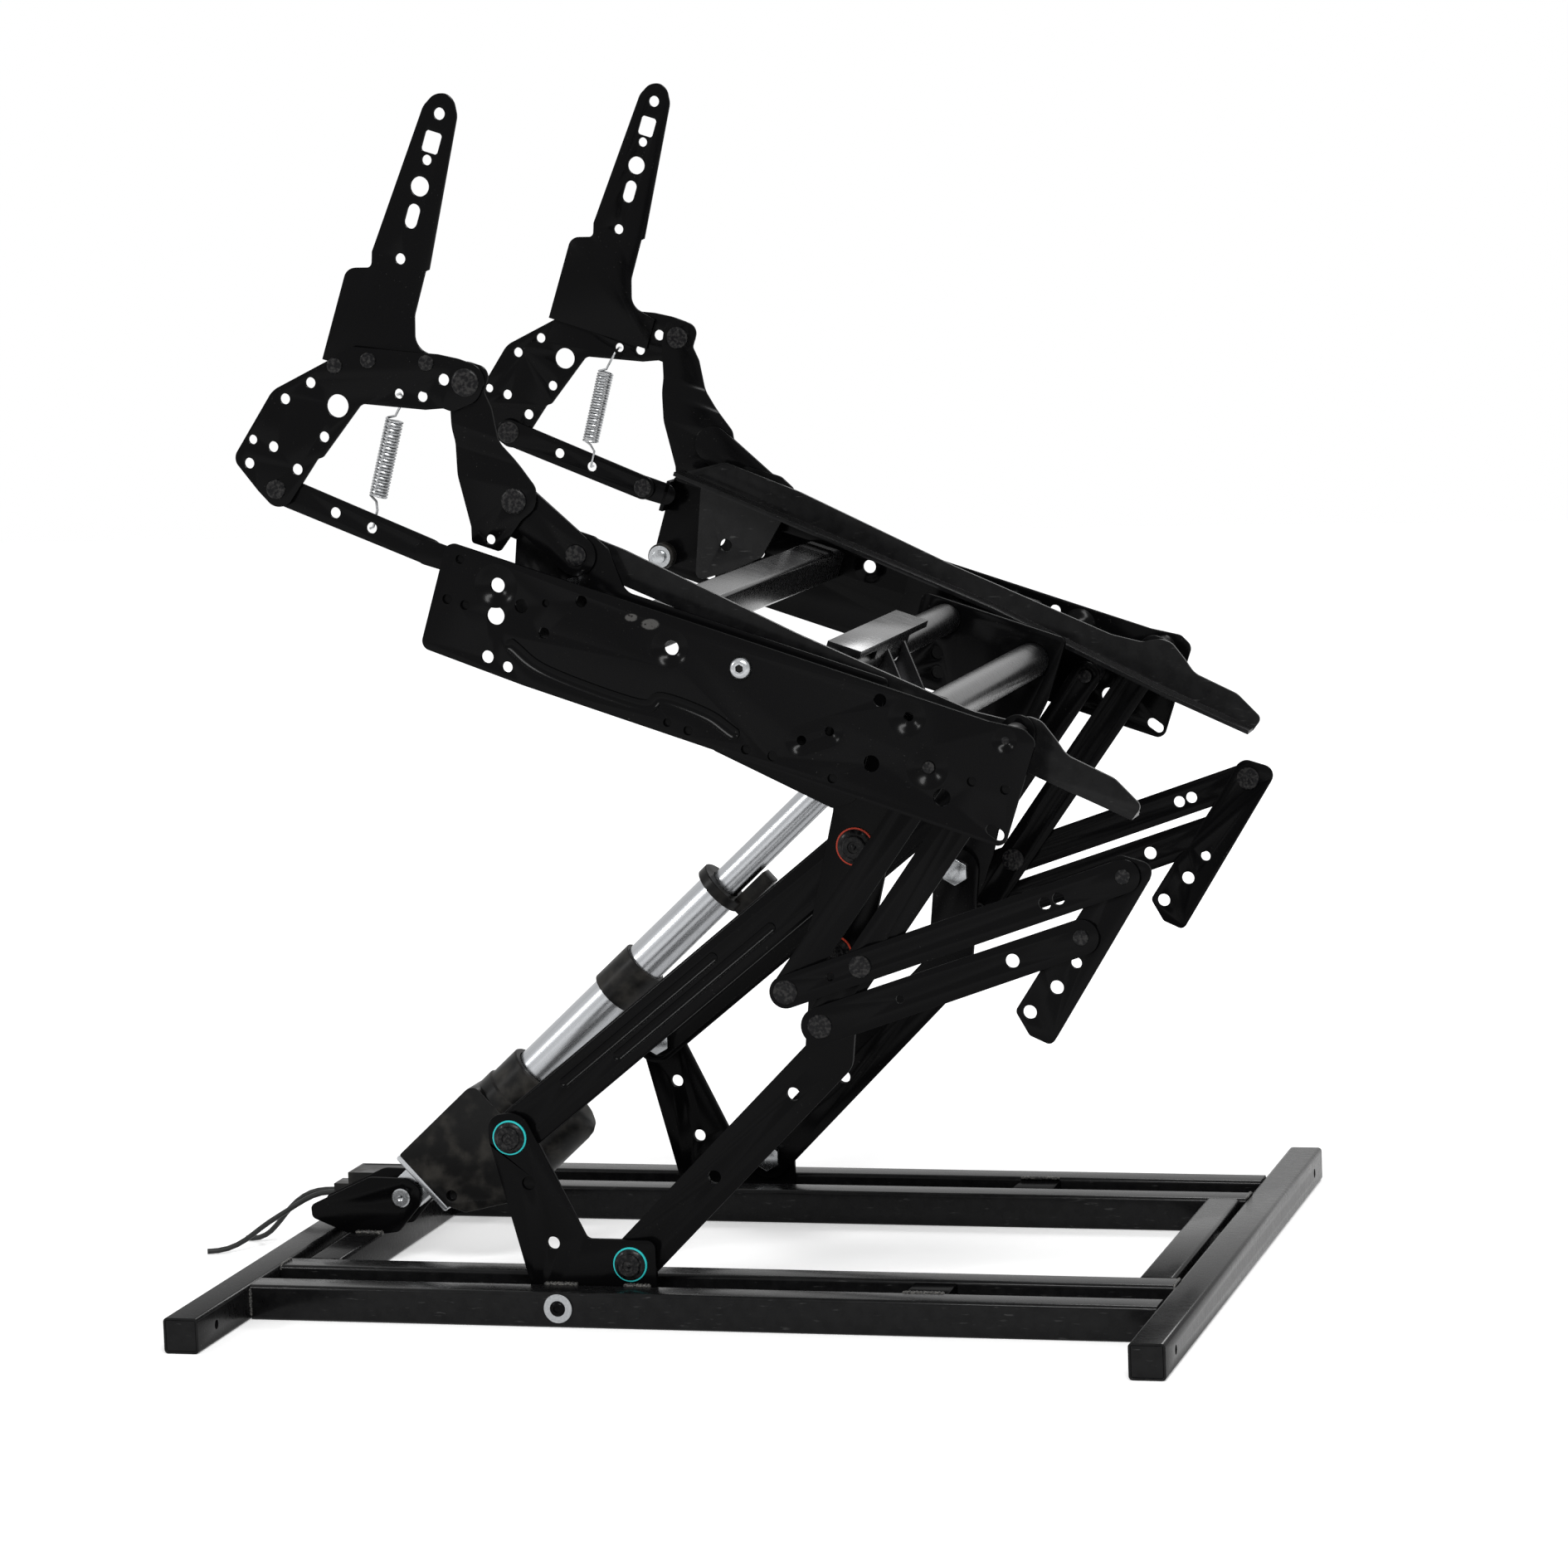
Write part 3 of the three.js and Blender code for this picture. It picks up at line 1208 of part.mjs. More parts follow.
// The junction box on the rear bar, with the plug block that the two leads come out of.
const rearBar = -crossReach + tube + rearBarSetback;
const boxPlace = vector(
  rearBar + tube / 2 - boxLength / 2,
  driveOffset + clevisGap / 2 + clevisSheet + boxClear + boxWidth / 2,
  tube + gap + boxHeight / 2,
);
const plugFace = boxPlace.x - boxLength / 2 - plugLength;
function junctionBox(name) {
  const shell = block(vector(boxLength, boxWidth, boxHeight), boxPlace);
  const plug = block(
    vector(plugLength + overrun, plugWidth, plugHeight),
    vector(plugFace + (plugLength + overrun) / 2, boxPlace.y, boxPlace.z),
  );
  return piece(name, join(shell, plug), plastic);
}

// Two short leads droop from the plug block to the floor. Their points are offsets from its face.
const leadRoutes = {
  motor_lead: [
    [0, 0, 0], [-6, 0, 0.2], [-12, 0.2, -0.1], [-18, 0.5, -1], [-24, 1, -2.8], [-30, 1.8, -5.8],
    [-36, 2.8, -10], [-41.5, 3.9, -15], [-46.5, 5, -20.3], [-51, 6, -25.5], [-55.5, 7, -30.3],
    [-60, 8, -34.6], [-65, 9.1, -38], [-70.5, 10.2, -40.3], [-76, 11.2, -41.2], [-81.5, 12.2, -41.4],
  ],
  hand_control_lead: [
    [0, 0, 0], [-6, 0, -0.1], [-12, -0.3, -0.9], [-18.5, -1, -2.9], [-25, -2.2, -6], [-31.5, -3.8, -9.8],
    [-38, -5.7, -13.8], [-44.5, -7.8, -17.7], [-51, -10.1, -21.8], [-57, -12.3, -26], [-62.5, -14.4, -30.2],
    [-68, -16.5, -34.2], [-74, -18.8, -37.6], [-80.5, -21.2, -40], [-87.5, -23.8, -41.2], [-95, -26.5, -41.4],
  ],
};
function lead(name, side) {
  const places = leadRoutes[name].map(([x, y, z]) =>
    vector(plugFace - gap + x, boxPlace.y + (side * leadSpacing) / 2 + y, boxPlace.z + z));
  const geometry = new THREE.ExtrudeGeometry(
    new THREE.Shape(ring(point(0, 0), leadRadius, fineSides)),
    { steps: places.length - 1, bevelEnabled: false, extrudePath: new THREE.CatmullRomCurve3(places) },
  );
  const mesh = new THREE.Mesh(geometry, new THREE.MeshStandardMaterial(plastic));
  mesh.name = name;
  return mesh;
}

// Assembly
const base = new THREE.Group();
base.add(crossTube("front_cross_tube", crossReach, 1));
base.add(crossTube("rear_cross_tube", -crossReach, 1));
base.add(baseBar("rear_inner_bar", rearBar));
base.add(baseBar("front_inner_bar", crossReach - tube - frontBarSetback));
base.add(clevis("actuator_clevis"), clevisPinPiece("clevis_pin"), junctionBox("junction_box"));
base.add(lead("motor_lead", 1), lead("hand_control_lead", -1));
assembly.add(base);

driveGroup.add(gearHousing("gear_housing"), motor("drive_motor"), outerTube("outer_tube"));
driveGroup.add(tubeClamp("tube_clamp"), endRing("end_ring"), driveRod("drive_rod"));
assembly.add(driveGroup);

const seat = new THREE.Group();
seat.position.set(seatPivot.x, 0, seatPivot.y);
seat.rotation.y = radians(seatTilt);
seat.add(rearCrossMember("rear_cross_member"), torqueTube("torque_tube"));
seat.add(frontTube("front_round_tube"), driveYoke("actuator_yoke"));
assembly.add(seat);

for (const [hand, sign] of hands) {
  const onFloor = flank(base, sign);
  onFloor.add(outerRailPiece(`${hand}_outer_rail`), innerRailPiece(`${hand}_inner_rail`));
  onFloor.add(upright(`${hand}_upright`));
  onFloor.add(rearArm(`${hand}_rear_lift_arm`), frontArm(`${hand}_front_lift_arm`));
  const onSeat = flank(seat, sign);
  onSeat.add(sidePlate(`${hand}_side_plate`), seatRail(`${hand}_seat_rail`));
  onSeat.add(innerPlate(`${hand}_inner_plate`), liftPlate(`${hand}_lift_plate`));
  onSeat.add(rearLink(`${hand}_rear_link`), post(`${hand}_recline_post`));
  onSeat.add(reclinePlate(`${hand}_recline_plate`), backArm(`${hand}_back_arm`));
  onSeat.add(lowerBar(`${hand}_recline_bar`), spring(`${hand}_recline_spring`));
  onSeat.add(frontFootLink(`${hand}_footrest_front_link`), rearFootLink(`${hand}_footrest_rear_link`));
  onSeat.add(upperFootLink(`${hand}_footrest_upper_link`), lowerFootLink(`${hand}_footrest_lower_link`));
  onSeat.add(footBracket(`${hand}_footrest_bracket`));
}

export default assembly;
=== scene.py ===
# Recliner lift mechanism, raised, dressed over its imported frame.
# Metres, in the frame's own axes: +X to the front of the chair, +Z up, and the near flank at negative Y.
import math

import bmesh
import bpy
from mathutils import Matrix, Vector
from mathutils.geometry import interpolate_bezier


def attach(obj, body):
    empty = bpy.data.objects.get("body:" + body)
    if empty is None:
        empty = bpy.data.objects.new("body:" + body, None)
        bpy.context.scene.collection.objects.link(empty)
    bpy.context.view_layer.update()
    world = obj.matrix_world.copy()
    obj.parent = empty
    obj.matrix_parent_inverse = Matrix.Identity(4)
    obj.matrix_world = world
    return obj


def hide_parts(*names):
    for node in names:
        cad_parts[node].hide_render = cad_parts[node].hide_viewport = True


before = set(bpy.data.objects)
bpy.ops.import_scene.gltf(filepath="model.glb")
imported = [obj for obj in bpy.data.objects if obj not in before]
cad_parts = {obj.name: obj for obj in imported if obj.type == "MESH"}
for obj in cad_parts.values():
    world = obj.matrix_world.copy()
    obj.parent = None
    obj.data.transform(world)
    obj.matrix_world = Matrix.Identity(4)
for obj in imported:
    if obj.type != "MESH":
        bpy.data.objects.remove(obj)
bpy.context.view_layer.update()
bpy.ops.object.select_all(action="DESELECT")
mm = 0.001

# Camera
# A long lens stands in front of the near flank, a little above the seat frame, and looks slightly down.
lens = 123.8
stand_point = Vector((1027.0, -3724.8, 867.7)) * mm
to_right = Vector((0.96597, 0.25605, -0.03664))
to_object = Vector((-0.25866, 0.95688, -0.13223))
upwards = to_right.cross(to_object)
turn = Matrix((to_right, upwards, -to_object)).transposed().to_4x4()
bpy.ops.object.camera_add()
camera = bpy.context.object
camera.name = "camera"
camera.data.lens = lens
camera.matrix_world = Matrix.Translation(stand_point) @ turn
bpy.context.scene.camera = camera

# Base tubes
# One-inch square steel tube, cut square and welded flat on the floor. The two cross tubes have moulded plugs
# in their ends and carry a small hole near each end.


class Shade:
    """A socket of a finish that takes part in expressions."""

    def __init__(self, finish, socket):
        self.finish = finish
        self.socket = socket

    def maths(self, operation, *values):
        inputs = dict(enumerate(values))
        return self.finish.node("ShaderNodeMath", {"operation": operation}, inputs)

    def __add__(self, other):
        return self.maths("ADD", self, other)

    def __mul__(self, other):
        return self.maths("MULTIPLY", self, other)

    def ramp(self, low, high):
        """0 below low, 1 above high, and smooth between them."""
        settings = {"interpolation_type": "SMOOTHSTEP"}
        return self.finish.node(
            "ShaderNodeMapRange", settings, {"Value": self, "From Min": low, "From Max": high}
        )

    def __or__(self, other):
        return self.maths("MAXIMUM", self, other)

    __radd__ = __add__
    __rmul__ = __mul__
    __ror__ = __or__


class Finish:
    """A material whose values come from expressions on Shade."""

    def __init__(self, name, slot=None, **fixed):
        self.slot = slot
        self.material = bpy.data.materials.new(name)
        self.material.use_nodes = True
        self.tree = self.material.node_tree
        self.shader = self.tree.nodes["Principled BSDF"]
        for socket, value in fixed.items():
            self.shader.inputs[socket.replace("_", " ")].default_value = value
        self.place = self.node("ShaderNodeTexCoord", output="Object")

    def node(self, kind, settings={}, inputs={}, output=0):
        made = self.tree.nodes.new(kind)
        for setting, value in settings.items():
            setattr(made, setting, value)
        for socket, value in inputs.items():
            if isinstance(value, Shade):
                self.tree.links.new(value.socket, made.inputs[socket])
            else:
                made.inputs[socket].default_value = value
        return Shade(self, made.outputs[output])

    def noise(self, size, detail=2, stretch=(1, 1, 1), turned=(0, 0, 0)):
        """Noise whose patches are about size across, drawn out along the axes of stretch."""
        scale = [size * s for s in stretch]
        inputs = {"Vector": self.place, "Rotation": turned, "Scale": scale}
        place = self.node("ShaderNodeMapping", {"vector_type": "TEXTURE"}, inputs)
        return self.node("ShaderNodeTexNoise", {}, {"Vector": place, "Scale": 1, "Detail": detail})

    def blend(self, factor, first, second):
        """The colour first where factor is 0 and second where it is 1."""
        inputs = {"Factor": factor, "A": first, "B": second}
        return self.node("ShaderNodeMix", {"data_type": "RGBA"}, inputs, "Result")

    def paint(self, **values):
        for socket, value in values.items():
            self.tree.links.new(value.socket, self.shader.inputs[socket.replace("_", " ")])

    def bump(self, height, depth):
        relief = self.node("ShaderNodeBump", {}, {"Height": height, "Distance": depth})
        self.tree.links.new(relief.socket, self.shader.inputs["Normal"])


def activate(piece, edit=False):
    bpy.ops.object.select_all(action="DESELECT")
    piece.select_set(True)
    bpy.context.view_layer.objects.active = piece
    if edit:
        bpy.ops.object.mode_set(mode="EDIT")
        bpy.ops.mesh.select_all(action="SELECT")


def choose(test, part="edges"):
    """Selects only the edges, faces or verts of the mesh in edit mode whose places pass the test."""
    mesh = bmesh.from_edit_mesh(bpy.context.object.data)
    bpy.ops.mesh.select_all(action="DESELECT")
    kinds = {"verts": "VERT", "edges": "EDGE", "faces": "FACE"}
    bpy.ops.mesh.select_mode(type=kinds[part])
    for item in getattr(mesh, part):
        if part == "verts":
            item.select_set(test(item.co))
        elif part == "edges":
            item.select_set(test(*(v.co for v in item.verts)))
        else:
            item.select_set(test(item.calc_center_median(), item.normal))
    mesh.select_flush_mode()
    bmesh.update_edit_mesh(bpy.context.object.data)


def modify(piece, kind, **settings):
    activate(piece)
    modifier = piece.modifiers.new(kind.lower(), kind)
    for setting, value in settings.items():
        setattr(modifier, setting, value)
    bpy.ops.object.modifier_apply(modifier=modifier.name)


def soften(piece, width, sides=2, sharp=math.radians(35)):
    """Rounds the sharp edges by a width and shades the rest smooth."""
    if width:
        modify(piece, "BEVEL", width=width, segments=sides, limit_method="ANGLE", angle_limit=sharp)
    activate(piece)
    bpy.ops.object.shade_smooth_by_angle(angle=sharp)


def joined(name, pieces):
    bpy.ops.object.select_all(action="DESELECT")
    for piece in pieces:
        piece.select_set(True)
    bpy.context.view_layer.objects.active = pieces[0]
    bpy.ops.object.join()
    pieces[0].name = name
    return pieces[0]


def cut(piece, cutters, operation="DIFFERENCE", folded=False):
    """Cuts by closed cutters, of which a folded one may run through itself."""
    cutter = joined("cutter", cutters)
    modify(piece, "BOOLEAN", object=cutter, operation=operation, solver="EXACT", use_self=folded)
    bpy.data.objects.remove(cutter)


def block(name, centre, size):
    bpy.ops.mesh.primitive_cube_add(size=1, location=centre, scale=size)
    piece = bpy.context.object
    piece.name = name
    bpy.ops.object.transform_apply()
    return piece


tube_side = 25.4 * mm


def square_tube(name, centre, length, along, side=tube_side, corner=3 * mm, plugged=False):
    """A square tube with rounded long edges. A plugged one has a seam round the plug in each end."""
    tube = block(name, centre, [length if axis == along else side for axis in "xyz"])
    index = "xyz".index(along)
    activate(tube, edit=True)
    choose(lambda a, b: abs(a[index] - b[index]) > length / 2)
    bpy.ops.mesh.bevel(offset=corner, segments=6)
    if plugged:
        choose(lambda place, normal: abs(normal[index]) > 0.9, "faces")
        bpy.ops.mesh.inset(thickness=1.5 * mm, use_individual=True)
        for depth in (-0.6 * mm, 0.5 * mm):
            bpy.ops.mesh.inset(thickness=0.3 * mm, depth=depth, use_individual=True)
    bpy.ops.object.mode_set(mode="OBJECT")
    soften(tube, 0.25 * mm)
    return tube


def stick(place, radius, length, sides=32, axis="y"):
    """A round or many-sided stick about a place, standing across the mechanism or lengthwise."""
    turns = {"x": (0, math.pi / 2, 0), "y": (math.pi / 2, 0, 0)}
    bpy.ops.mesh.primitive_cylinder_add(
        vertices=sides, radius=radius, depth=length, location=place, rotation=turns[axis]
    )
    return bpy.context.object


def fit(piece, finish, body, *nodes, slot=None):
    """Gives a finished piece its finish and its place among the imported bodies."""
    piece.data.materials.clear()
    piece.data.materials.append(finish.material)
    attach(piece, body)
    if nodes:
        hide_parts(*nodes)


def fit_both(piece, finish, body, node=None, slot=None):
    """Fits a piece of the near flank, and its mirrored copy on the far one."""
    name = piece.name
    far = piece.copy()
    far.data = piece.data.copy()
    bpy.context.collection.objects.link(far)
    activate(far, edit=True)
    bpy.ops.transform.resize(value=(1, -1, 1), center_override=(0, 0, 0))
    bpy.ops.mesh.select_all(action="SELECT")
    bpy.ops.mesh.normals_make_consistent()
    bpy.ops.object.mode_set(mode="OBJECT")
    for hand, one in (("right", piece), ("left", far)):
        one.name = f"{name}_{hand}"
        fit(one, finish, body, *([f"{hand}_{node}"] if node else []), slot=slot)


# Drawn steel tube under a thinner, sheenier black coat, rubbed in faint bands across its length.
sheen_coat = Finish(
    "sheeny_black_tube", "dark_steel", Specular_IOR_Level=0.04, Coat_Weight=0.13, Coat_Roughness=0.14
)
bands = sheen_coat.noise(9 * mm, 3, (1, 0.35, 1))
scuffs = sheen_coat.noise(2 * mm, 3, (6, 1, 1)).ramp(0.64, 0.8)
sheen_coat.paint(
    Base_Color=sheen_coat.blend(
        scuffs * 0.5 + bands * 0.12, (0.001, 0.001, 0.0012, 1), (0.06, 0.06, 0.06, 1)
    ),
    Roughness=0.2 + 0.16 * bands,
)
sheen_coat.bump(bands, 0.02 * mm)

# Pressed sheet in satin black powder coat, its grain fine and slightly dusty, as on every flat piece.
black_coat = Finish(
    "black_powder_coat", "black_paint", Specular_IOR_Level=0.0, Coat_Weight=0.105, Coat_Roughness=0.18
)
grain = black_coat.noise(0.35 * mm, 3)
cloud = black_coat.noise(45 * mm, 4)
dust = black_coat.noise(1.6 * mm, 2).ramp(0.69, 0.78) * cloud.ramp(0.45, 0.7)
# Two spots on the near side plate are rubbed bright. Heights count 1.7 times, so they come out wide and low.
rub_place = black_coat.node(
    "ShaderNodeVectorMath", {"operation": "MULTIPLY"}, {0: black_coat.place, 1: (1, 1, 1.7)}
)
rubs = 0
for spot, reach in (((-5.6, -281, 857.5), 5), ((7.4, -281, 849.6), 7)):
    inputs = {0: rub_place, 1: Vector(spot) * mm}
    away = black_coat.node("ShaderNodeVectorMath", {"operation": "DISTANCE"}, inputs, "Value")
    rubs = away.ramp(reach * mm, reach * 0.6 * mm) + rubs
worn = dust * 0.6 + grain * 0.04 + rubs * black_coat.noise(2 * mm, 3).ramp(0.3, 0.5) * 1.6
black_coat.paint(
    Base_Color=black_coat.blend(worn, (0.0007, 0.0007, 0.0009, 1), (0.05, 0.049, 0.047, 1)),
    Roughness=0.24 + 0.12 * cloud + 0.05 * grain,
)
black_coat.bump(grain, 0.005 * mm)

half_tube = tube_side / 2
cross_reach = 339.3 * mm
cross_length = 640 * mm
end_hole = cross_length / 2 - 36 * mm
for end, sign in (("front", 1), ("rear", -1)):
    cross = square_tube(f"{end}_cross", (sign * cross_reach, 0, half_tube), cross_length, "y", plugged=True)
    face = sign * cross_reach + half_tube
    hole_places = [(face, side * end_hole, half_tube) for side in (-1, 1)]
    cut(cross, [stick(place, 3.4 * mm, 14 * mm, axis="x") for place in hole_places])
    fit(cross, sheen_coat, "base", f"{end}_cross_tube")

rail_length = 652.6 * mm
outer_rail = 204.8 * mm
inner_rail = 141.7 * mm
for name, y in (("outer_rail", outer_rail), ("inner_rail", inner_rail)):
    rail = square_tube(f"base_{name}", (0, -y, half_tube), rail_length, "x")
    fit_both(rail, sheen_coat, "base", name, "black_paint")
bar_length = 257.4 * mm
for name, x in (("rear_inner_bar", -301.3 * mm), ("front_inner_bar", 309.3 * mm)):
    bar = square_tube(f"base_{name}", (x, 0, half_tube), bar_length, "y")
    fit(bar, sheen_coat, "base", name, slot="black_paint")
spacer_place = Vector((158 * mm, -173.2 * mm, half_tube))
spacer_side = 19.4 * mm
spacer_width = 31 * mm
spacer = square_tube("rail_spacer", spacer_place, 37.4 * mm, "y", spacer_side, mm)
modify(spacer, "TRIANGULATE")
activate(spacer, edit=True)
bpy.ops.transform.resize(value=(spacer_width / spacer_side, 1, 1.12), center_override=spacer_place)
bpy.ops.object.mode_set(mode="OBJECT")
fit_both(spacer, black_coat, "base")


# Welds
# Short runs of weld metal join the tubes of the base at their corners. Each is a row of overlapping drops.
weld_metal = Finish("weld_scale", "dark_steel")
spatter = weld_metal.noise(1.3 * mm, 4).ramp(0.4, 0.7)
weld_metal.paint(
    Base_Color=weld_metal.blend(spatter, (0.012, 0.012, 0.012, 1), (0.14, 0.135, 0.125, 1)),
    Roughness=0.35 + 0.25 * spatter,
    Metallic=0.4 + 0.4 * spatter,
)
weld_metal.bump(spatter, 0.3 * mm)


def wire(name, line, radius, sides):
    """A round curve through a line of (place, share of the radius)."""
    curve = bpy.data.curves.new(name, "CURVE")
    curve.dimensions = "3D"
    curve.bevel_depth = radius
    curve.bevel_resolution = sides
    curve.use_fill_caps = True
    spline = curve.splines.new("POLY")
    spline.points.add(len(line) - 1)
    for point, (place, share) in zip(spline.points, line):
        point.co = (*place, 1)
        point.radius = share
    piece = bpy.data.objects.new(name, curve)
    bpy.context.collection.objects.link(piece)
    return piece


def drawn(name, line, radius, sides=3):
    """A wire as a closed mesh."""
    piece = wire(name, line, radius, sides)
    activate(piece)
    bpy.ops.object.convert(target="MESH")
    activate(piece, edit=True)
    bpy.ops.mesh.remove_doubles(threshold=0.0005 * mm)
    bpy.ops.mesh.normals_make_consistent()
    bpy.ops.object.mode_set(mode="OBJECT")
    return piece


def bead(name, body, corners, size):
    """A run of weld along corners (x, y, z), its drops 1.3 mm apart, and the same on the far flank."""
    run = []
    for start, end in zip(corners, corners[1:]):
        start, end = Vector(start), Vector(end)
        count = max(2, round((end - start).length / (1.3 * mm)))
        run += [start.lerp(end, i / count) for i in range(count)]
    run.append(Vector(corners[-1]))
    swell = [(1.15, 0.85, 1.05, 0.8)[i % 4] for i in range(len(run))]
    swell[0] = swell[-1] = 0.5
    weld = drawn(name, list(zip(run, swell)), size)
    soften(weld, 0, sharp=math.radians(60))
    fit_both(weld, weld_metal, body)


for end, sign in (("rear", -1), ("front", 1)):
    x = sign * (cross_reach - half_tube - 0.4 * mm)
    near = -outer_rail - half_tube
    bead(f"{end}_outer_weld", "base", [(x, near - 0.2 * mm, 3 * mm), (x, near - 0.2 * mm, 23 * mm)], 1.3 * mm)
    bead(f"{end}_inner_weld", "base", [
        (x, -inner_rail - half_tube, 22 * mm), (x, -inner_rail - half_tube + 3 * mm, tube_side),
        (x, -inner_rail + half_tube - 3 * mm, tube_side),
    ], 1.2 * mm)
spacer_run = [(spacer_place.x + reach, -191.5 * mm, 25 * mm) for reach in (-15 * mm, 15 * mm)]
bead("spacer_weld", "base", spacer_run, 1.4 * mm)


# Bolts on the outer rails
# A zinc washer and a black socket-head bolt close the tapped hole in each outer rail.
zinc = Finish("zinc_plate", "zinc", Metallic=1.0)
crystal = zinc.noise(1.4 * mm, 3)
zinc.paint(
    Base_Color=zinc.blend(crystal, (0.24, 0.25, 0.26, 1), (0.46, 0.47, 0.48, 1)),
    Roughness=0.16 + 0.16 * crystal,
)


def outlined(name, places):
    """A chain of edges from place to place, left in edit mode with all of it selected."""
    bpy.ops.mesh.primitive_plane_add(size=mm)
    piece = bpy.context.object
    piece.name = name
    bpy.ops.object.mode_set(mode="EDIT")
    bpy.ops.mesh.select_mode(type="VERT")
    bpy.ops.mesh.merge(type="CENTER")
    bpy.ops.transform.translate(value=places[0])
    for here, there in zip(places, places[1:]):
        step = [b - a for a, b in zip(here, there)]
        bpy.ops.mesh.extrude_vertices_move(TRANSFORM_OT_translate={"value": step})
    bpy.ops.mesh.select_all(action="SELECT")
    return piece


def turned(name, centre, profile, steps=40):
    """A round piece turned about an axis across the mechanism. Its profile runs through (radius, y)."""
    x, z = centre
    piece = outlined(name, [(x + radius, y, z) for radius, y in profile])
    bpy.ops.mesh.spin(steps=steps, angle=2 * math.pi, center=(x, 0, z), axis=(0, 1, 0))
    bpy.ops.mesh.select_all(action="SELECT")
    bpy.ops.mesh.remove_doubles(threshold=0.002 * mm)
    bpy.ops.mesh.normals_make_consistent()
    bpy.ops.object.mode_set(mode="OBJECT")
    activate(piece)
    bpy.ops.object.shade_smooth_by_angle(angle=math.radians(35))
    return piece


def washer(name, centre, face, radius, bore, height, chamfer=0.4 * mm):
    """A flat ring that stands out of a face towards the near side."""
    top = face - height
    return turned(name, centre, [
        (bore, face), (bore, top + chamfer / 2), (bore + chamfer / 2, top), (radius - chamfer, top),
        (radius, top + chamfer), (radius, face), (bore, face),
    ])


def socket_bolt(name, centre, face, radius, height, socket):
    """A domed button head with a hexagon socket, standing out of a face towards the near side."""
    top = face - height
    head = turned(name, centre, [
        (0, face), (radius, face), (radius, face - height * 0.25), (radius * 0.93, face - height * 0.6),
        (radius * 0.75, top + height * 0.08), (radius * 0.55, top), (0, top),
    ])
    x, z = centre
    cut(head, [stick((x, top, z), socket, height, 6)])
    soften(head, 0.15 * mm)
    return head


rail_bolt = (-98 * mm, 14.2 * mm)
rail_face = -outer_rail - half_tube
fit_both(washer("rail_washer", rail_bolt, rail_face, 10.3 * mm, 5.4 * mm, 2 * mm), zinc, "base")
fit_both(socket_bolt("rail_bolt", rail_bolt, rail_face, 5.9 * mm, 3.9 * mm, 2.6 * mm), black_coat, "base")


# Uprights
# Five-millimetre plate, laser cut, stands inside each outer rail on a weld and carries the fixed lift pivots.


edge = 0.35 * mm
heavy_edge = 0.45 * mm


def plate(name, corners, layer, thickness=3 * mm, holes=(), rounded=edge, windows=()):
    """A sheet in the side view. Corners are (x, z) or (x, z, radius), holes are (x, z, radius)."""
    corners = [(*corner, 0)[:3] for corner in corners]
    piece = outlined(name, [(x, layer - thickness / 2, z) for x, z, radius in corners])
    bpy.ops.mesh.edge_face_add()
    for i, (x, z, radius) in enumerate(corners):
        if not radius:
            continue
        here = Vector((x, z))
        sides = [Vector(corners[j][:2]) - here for j in (i - 1, (i + 1) % len(corners))]
        reach = radius / math.tan(sides[0].angle(sides[1]) / 2)
        reach = min(reach, 0.4999 * min(side.length for side in sides))
        choose(lambda place: (Vector((place.x, place.z)) - here).length < 0.01 * mm, "verts")
        bpy.ops.mesh.bevel(offset=reach, segments=8, affect="VERTICES")
    bpy.ops.mesh.select_all(action="SELECT")
    bpy.ops.mesh.remove_doubles(threshold=0.01 * mm)
    bpy.ops.mesh.extrude_region_move(TRANSFORM_OT_translate={"value": (0, thickness, 0)})
    bpy.ops.mesh.select_all(action="SELECT")
    bpy.ops.mesh.normals_make_consistent()
    bpy.ops.object.mode_set(mode="OBJECT")
    cutters = [plate("window", window, layer, 3 * thickness, rounded=0) for window in windows]
    cutters += [stick((x, layer, z), radius, 3 * thickness, 40) for x, z, radius in holes]
    if cutters:
        cut(piece, cutters)
    if rounded:
        soften(piece, rounded)
    return piece


def drilled(piece, layer, places, radius, depth):
    """Cuts round holes at (x, z) places, as deep before a layer as behind it."""
    cut(piece, [stick((x, layer, z), radius, depth) for x, z in places])


def link_line(start, end, radius, end_radius=None):
    """Corners of a link with round ends: a box round two centres whose corners take the radius."""
    end_radius = end_radius or radius
    start, end = Vector(start), Vector(end)
    run = (end - start).normalized()
    side = Vector((-run.y, run.x))
    return [
        (*(start - run * radius + side * radius), radius),
        (*(end + run * end_radius + side * end_radius), end_radius),
        (*(end + run * end_radius - side * end_radius), end_radius),
        (*(start - run * radius - side * radius), radius),
    ]


def polar(start, length, degrees):
    lean = math.radians(degrees)
    return Vector(start) + length * Vector((math.cos(lean), math.sin(lean)))


rear_pivot = Vector((-136.5, 129.5)) * mm
front_pivot = Vector((-52, 40.6)) * mm
lift_layer = -189.3 * mm
heavy = 5 * mm
lift_face = lift_layer - heavy / 2
upright_head = 15.4 * mm
upright_foot = 4.5 * mm
heel = rear_pivot.x + 16 * mm
toe = front_pivot.x + 18.5 * mm
shoulder = front_pivot.y + 17.2 * mm
waist = (rear_pivot.x + front_pivot.x) / 2 + 11 * mm
leg_foot = Vector((heel + 31.5 * mm, upright_foot))
upright_corners = [
    (heel, upright_foot), (toe, upright_foot), (toe, shoulder, 6 * mm), (waist, shoulder, 5 * mm),
    (*polar(rear_pivot, upright_head * 1.36, 64), upright_head * 0.9),
    (*polar(rear_pivot, upright_head * 1.4, 136), upright_head * 0.9),
    (rear_pivot.x - upright_head * 1.02, rear_pivot.y - upright_head * 0.1, upright_head),
]
upright_hole = rear_pivot.lerp(leg_foot, 0.6)
